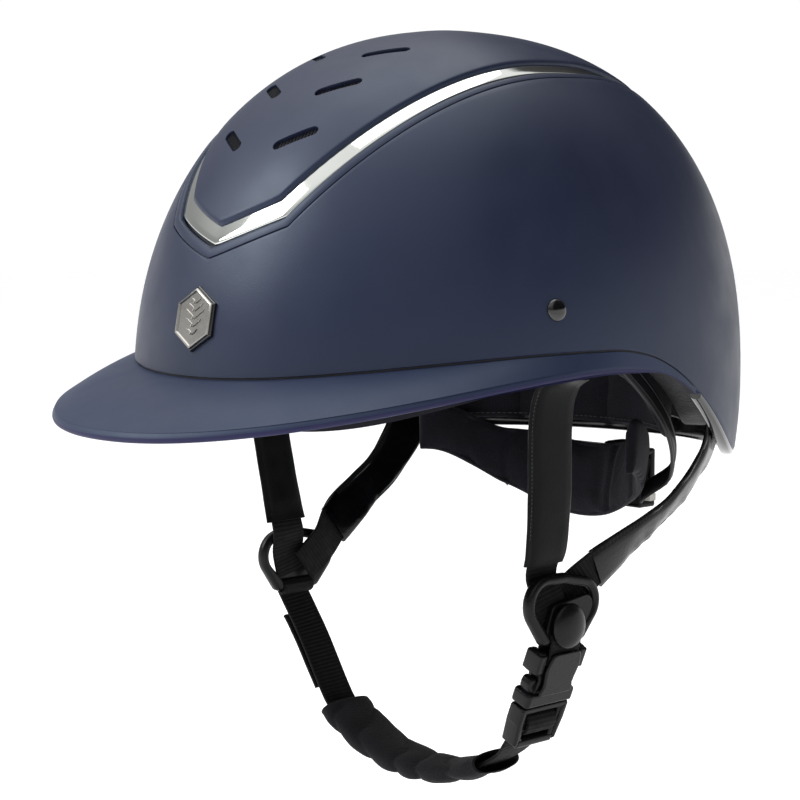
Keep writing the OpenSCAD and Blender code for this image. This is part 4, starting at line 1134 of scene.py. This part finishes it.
def band_loop(route, outline, side):
    """A closed loop of strap through points, its width along one direction."""
    route, side = np.asarray(route, float), unit(side)
    along = unit(np.roll(route, -1, 0) - np.roll(route, 1, 0))
    face = unit(np.cross(along, side))
    sections = [route[i] + outline[:, :1] * side + outline[:, 1:2] * face[i] for i in range(len(route))]
    return sweep(sections, closed=True)


# ---- Buckle: local X is out from the face, local Z runs up along the buckle ----

LEAN = math.radians(22)
OUT, UP = np.array([math.cos(LEAN), 0, -math.sin(LEAN)]), np.array([math.sin(LEAN), 0, math.cos(LEAN)])
BUCKLE_AT = np.array([66.0, LEVEL, -116.0])


def at_buckle(out=0.0):
    """Local X to the rear, local Y up along the buckle, outward from the face."""
    return place_at((0, 1, 0), UP, BUCKLE_AT + OUT * out)


def both_ways(half):
    """Outline from its right half, given from the bottom up."""
    half = np.array(half, float)
    return np.vstack([half, half[::-1] * [-1, 1]])


def buckle():
    collar = plate([rounded(both_ways([(12.5, 0.4), (12.5, 6.6)]), [1.2, 1.8, 1.8, 1.2])], 9, 1.5, at_buckle())
    front = [(-9.4, 6), (9.4, 6), (7.6, 10.5), (8.2, 14), (8.8, 18), (7.4, 24), (-7.4, 24), (-8.8, 18), (-8.2, 14), (-7.6, 10.5)]
    face = plate([rounded(front, [1.5, 1.5, 3, 3, 2, 3, 3, 2, 3, 3])], 1.5, 0.6, at_buckle(4.9))
    spine = both_ways([(11.5, 4), (9.9, 6.6), (8.6, 8.4), (8.4, 11), (9.2, 13), (10.6, 14.4), (12.5, 14.9), (12.5, 22.6),
                       (11.6, 23.8), (9.6, 23.8), (8.8, 22.8), (8.8, 17.6)])
    body = plate([rounded(spine, [0.5, 1.5, 2, 2, 2, 1.5, 1.2, 1.2, 0.8, 0.8, 0.8, 0.9] * 2)], 6.6, 1.2, at_buckle())
    ears = [plate([rounded([(s * 8.9, 15), (s * 12.6, 15), (s * 12.6, 23.2), (s * 8.9, 23.2)][::s], 0.9)], 8.2, 0.9,
                  at_buckle()) for s in (1, -1)]
    crossbar = lathe([(0.5, -12.4), (1.7, -12.4), (1.7, 12.4), (0.5, 12.4)],
                     place_at((1, 0, 0), (0, 0, -1), (74.4, LEVEL, -97)))
    points, faces = join_parts([collar, face, body, *ears, crossbar])
    add_mesh("buckle_socket", points, faces, BUCKLE, "helmet", "buckle_plastic", ["buckle_female"])
    centres = [(76, -91), (74.4, -97)]
    ring = hull([(x, z, 2.8) for x, z in centres], 6)
    route = [(x, LEVEL, z) for x, z in ring]
    shape = band_loop(resampled(route, 40), rounded_bar(16, 1.3), (0, 1, 0))
    outward(add_mesh("buckle_loop", *shape[:2], WEBBING, "helmet", "webbing", ["buckle_link"], shape[2]))

    frame_outer = rounded(both_ways([(9.6, -18), (12.5, -7), (12.5, -0.1)]), [2.2, 4, 0.8, 0.8, 4, 2.2])
    windows = [rounded([(-8.2, -6), (8.2, -6), (8.6, -2.4), (-8.6, -2.4)], 0.8),
               rounded([(-7.4, -14.4), (7.4, -14.4), (8.2, -10.2), (-8.2, -10.2)], 1.2)]
    body = plate([frame_outer, *[w[::-1] for w in windows]], 6, 1.0, at_buckle())
    rails = [plate([rounded([(s * 9.2, -17), (s * 11.2, -16.6), (s * 12.4, -7), (s * 12.4, -0.6), (s * 10.0, -0.6),
                             (s * 9.4, -8)][::s], 0.8)], 7.4, 0.9, at_buckle()) for s in (1, -1)]
    sill = plate([rounded([(-9.6, -18), (9.6, -18), (10.2, -14.6), (-10.2, -14.6)], 1.2)], 7.0, 1.2, at_buckle())
    brow = plate([rounded([(-12.2, -2.6), (12.2, -2.6), (12.2, -0.1), (-12.2, -0.1)], 0.7)], 7.2, 0.9, at_buckle())
    guide = plate([rounded([(-2.2, 0), (2.2, 0), (2.2, 10.4), (1.2, 11), (-1.2, 11), (-2.2, 10.4)], 0.6)], 2.2, 0.4,
                  at_buckle(-1.5))
    points, faces = join_parts([body, *rails, sill, brow, guide])
    add_mesh("buckle_plug", points, faces, BUCKLE, "chin_strap", "buckle_plastic", ["buckle_male"])
    for name, s in (("front", -1), ("rear", 1)):
        arm = [(7.0, -2.2), (9.8, -2.4), (10.0, 2), (10.2, 4.8), (11.4, 6.4), (12.4, 8.2), (12.5, 10.2), (11.9, 11.9),
               (10.6, 12.6), (9.2, 12.2), (8.6, 10.6), (8.2, 7.5), (7.6, 4.8), (7.3, 1)]
        outline = rounded([(s * x, z) for x, z in arm][::s], 0.8, 4)
        shape = plate([outline], 5.4, 1.2, at_buckle())
        add_mesh(f"prong_{name}", *shape, BUCKLE, f"{name}_latch", "buckle_plastic", [f"latch_{name}"])


def resampled(points, count):
    """Even points round a closed line."""
    p = np.array([*points, points[0]], float)
    run = np.concatenate([[0], np.cumsum(np.linalg.norm(np.diff(p, axis=0), axis=1))])
    return np.stack([np.interp(np.arange(count) * run[-1] / count, run, p[:, k]) for k in range(p.shape[1])], -1)


# ---- Chin strap and its cover ----

def chin_point(angle, out=0.0):
    a = math.radians(angle)
    level = CHIN_LEVEL - 0.8 * min(1, max(0, (angle + 60) / 7))
    return (82 + out) * math.cos(a), level, -73 + (82 + out) * math.sin(a)


def chin_strap():
    def at(out, up):
        return tuple(BUCKLE_AT + OUT * out + UP * up)

    route = [((-78.3, LEVEL, -92.6), ACROSS), ((-73.2, -10.9, -101), ACROSS), ((-66, -9.5, -113), ACROSS)]
    route += [(chin_point(a), ACROSS) for a in range(-130, -52, 7)]
    route += [((54.6, LEVEL, -133.6), ACROSS)]
    route += [(at(o, u), ACROSS) for o, u in ((-2.6, -15.6), (0.4, -13.0), (3.0, -11.2), (3.9, -8.3), (3.0, -5.6),
                                              (0.2, -4.2), (-3.4, -3.6))]
    main = ribbon(route, rounded_bar(15.8, 1.4))
    eye = [(-76 + 2.75 * math.cos(q), LEVEL, -91 + 2.75 * math.sin(q)) for q in np.radians(np.arange(0, 360, 15))]
    loop = band_loop(eye, rounded_bar(16, 1.4), ACROSS)
    points, faces = join_parts([main[:2], loop[:2]])
    uv = np.vstack([main[2], loop[2]])
    outward(add_mesh("chin_strap_webbing", points, faces, WEBBING, "chin_strap", "webbing", ["chin_webbing"], uv, 50))
    tail = [((-76.6, -10.2, -103.4), ACROSS), ((-74.4, -10, -106.0), ACROSS), ((-68.9, -9.2, -114.5), ACROSS),
            ((-63.6, -8.6, -123.4), ACROSS), ((-58.6, CHIN_LEVEL, -131.6), ACROSS)]
    shape = ribbon(tail, rounded_bar(16, 1.5))
    outward(add_mesh("strap_tail", *shape[:2], WEBBING, "chin_strap", "webbing", ["chin_strap_tail"], shape[2], 50))
    n = unit((-0.86, 0, -0.5))
    rows = []
    for z in (-6, 6):
        rows.append(stitches([(-73.55, -9.8 + z, -108.2), (-70.35, -9.3 + z, -113.2)], n, 1.6, 1.1, 0.2))
    for k in (0, 1):
        a = np.array([-73.55, -9.8, -108.2]) if k else np.array([-70.35, -9.3, -113.2])
        rows.append(stitches([a - [0, 6, 0], a + [0, 6, 0]], n, 1.6, 1.1, 0.2))
    points, faces = join_parts(rows)
    outward(add_mesh("tail_stitches", points, faces, THREAD, "chin_strap", "webbing"))


def chin_cover():
    """Gathered fabric sleeve with an open end: it bulges between creases that run slantwise round it."""
    q = np.radians(np.arange(0, 360, 7.5))
    half_wide, half_thick = 12.6, 4.2
    flat = np.stack([half_wide * np.sign(np.cos(q)) * np.abs(np.cos(q)) ** 0.8,
                     half_thick * np.sign(np.sin(q)) * np.abs(np.sin(q)) ** 0.75], -1)
    first, last = -126.6, -61.5
    stations = np.linspace(first, last, 150)
    sections = []

    def section(angle, outline):
        a = math.radians(angle)
        radial = np.array([math.cos(a), 0, math.sin(a)])
        return np.array(chin_point(angle)) + outline[:, :1] * np.array([0, 1.0, 0]) + outline[:, 1:2] * radial

    for angle, k in ((first + 5, 0.80), (first + 1.0, 0.84), (first + 0.15, 0.90)):
        sections.append(section(angle, flat * k))
    for i, angle in enumerate(stations):
        t = i / (len(stations) - 1)
        arc = t * 100
        slant = flat[:, 0] * 0.8
        drift = np.array([wander(arc * 0.035, float(x) * 0.05, float(y) * 0.2) for x, y in flat])
        wave = np.abs(np.sin(np.pi * ((arc + slant) / 19 + 0.35 * drift)))
        fine = np.array([wander(arc * 0.16, float(x) * 0.2, 7 + float(y) * 0.4) for x, y in flat])
        bulge = 1.5 * wave ** 0.6 - 1.1 + 0.12 * fine
        inner = np.where(flat[:, 1] > 0, 1.0, 0.8)
        ends = min(1.0, min(t, 1 - t) * 22)
        n = unit(flat * [1 / half_wide ** 2, 1 / half_thick ** 2])
        sections.append(section(angle, flat + n * (bulge * inner * ends * 0.85)[:, None]))
    for angle, k in ((last - 0.15, 0.90), (last - 1.0, 0.84), (last - 5, 0.80)):
        sections.append(section(angle, flat * k))
    points, faces, uv = sweep(sections)
    obj = add_mesh("chin_sleeve_cover", points, faces, COVER, "chin_sleeve", "cover_fabric", ["chin_cover"], uv, 180)
    outward(obj)


# ---- Scene ----


def camera():
    azimuth, elevation, distance = math.radians(46.84), math.radians(5.12), 0.800
    back = Vector((math.sin(azimuth) * math.cos(elevation), -math.cos(azimuth) * math.cos(elevation),
                   math.sin(elevation)))
    right = Vector((math.cos(azimuth), math.sin(azimuth), 0))
    up = back.cross(right)
    target = right * -0.0162 + up * -0.0081
    data = bpy.data.cameras.new("camera")
    data.sensor_width, data.lens = 36, 36 * 2013 / 800
    data.clip_start, data.clip_end = 0.01, 50
    obj = bpy.data.objects.new("camera", data)
    bpy.context.scene.collection.objects.link(obj)
    obj.matrix_world = Matrix.Translation(target + back * distance) @ Matrix((right, up, back)).transposed().to_4x4()
    bpy.context.scene.camera = obj


def area_light(name, position, target, size, power, colour=(1, 1, 1)):
    data = bpy.data.lights.new(name, "AREA")
    data.shape, data.size, data.size_y = "RECTANGLE", *size
    data.energy, data.color = power, colour
    obj = bpy.data.objects.new(name, data)
    bpy.context.scene.collection.objects.link(obj)
    obj.location = position
    obj.rotation_euler = (Vector(target) - Vector(position)).to_track_quat("-Z", "Y").to_euler()
    return obj


def studio():
    """Surroundings that are white at the horizon and overhead, and dim between, with dark patches for the chrome."""
    world = bpy.data.worlds.new("studio")
    bpy.context.scene.world = world
    bpy.context.scene.view_settings.view_transform = "Standard"
    world.use_nodes = True
    tree = world.node_tree
    where = tree.nodes.new("ShaderNodeTexCoord").outputs["Generated"]

    def lobe(direction, start, end):
        dot = tree.nodes.new("ShaderNodeVectorMath")
        dot.operation = "DOT_PRODUCT"
        dot.inputs[1].default_value = direction
        tree.links.new(where, dot.inputs[0])
        span = tree.nodes.new("ShaderNodeMapRange")
        span.interpolation_type = "SMOOTHSTEP"
        for key, value in (("From Min", start), ("From Max", end), ("To Min", 0.0), ("To Max", 1.0)):
            span.inputs[key].default_value = value
        tree.links.new(dot.outputs["Value"], span.inputs["Value"])
        return span.outputs["Result"]

    def combine(operation, a, b):
        node = tree.nodes.new("ShaderNodeMath")
        node.operation = operation
        for k, value in enumerate((a, b)):
            if isinstance(value, float):
                node.inputs[k].default_value = value
            else:
                tree.links.new(value, node.inputs[k])
        return node.outputs[0]

    horizon = lobe((0.0, 0.0, -1.0), -0.22, -0.13)
    above = combine("ADD", combine("MULTIPLY", lobe((0.0, 0.0, 1.0), 0.35, 0.8), 0.70), 0.34)
    dark = combine("MAXIMUM", lobe((0.75, 0.56, 0.35), 0.6, 0.85), lobe((-0.30, 0.855, 0.422), 0.906, 0.945))
    light = combine("SUBTRACT", 1.0, combine("MULTIPLY", dark, 0.92))
    strength = combine("MAXIMUM", combine("MULTIPLY", horizon, 1.04), combine("MULTIPLY", above, light))
    tree.links.new(strength, tree.nodes["Background"].inputs["Strength"])
    tree.nodes["Background"].inputs["Color"].default_value = (1, 1, 1, 1)
    area_light("key", (-0.9, -1.2, 1.1), (0, 0, 0.03), (0.9, 0.9), 20)
    area_light("top", (-0.2, 0.1, 1.6), (0, 0, 0.05), (1.4, 1.4), 11)
    floor_z = cad_low[2] - 0.06
    points = np.array([(-9, -9, floor_z), (9, -9, floor_z), (9, 9, floor_z), (-9, 9, floor_z)])
    mesh = bpy.data.meshes.new("floor")
    mesh.from_pydata(points.tolist(), [], [(0, 1, 2, 3)])
    floor = bpy.data.objects.new("floor", mesh)
    bpy.context.scene.collection.objects.link(floor)
    mesh.materials.append(moulded("pale_floor", (0.93, 0.93, 0.935), 0.8, spread=0.003, glow=0.38))


camera()
studio()
outer_shell()
crown_panel()
trims()
vent_grilles()
peak()
seals()
badge()
side_pins()
foam_liner()
headband()
crown_cushion()
nape_cushion()
cradle()
dial()
plain_nodes()
harness_straps()
dividers()
buckle()
chin_strap()
chin_cover()
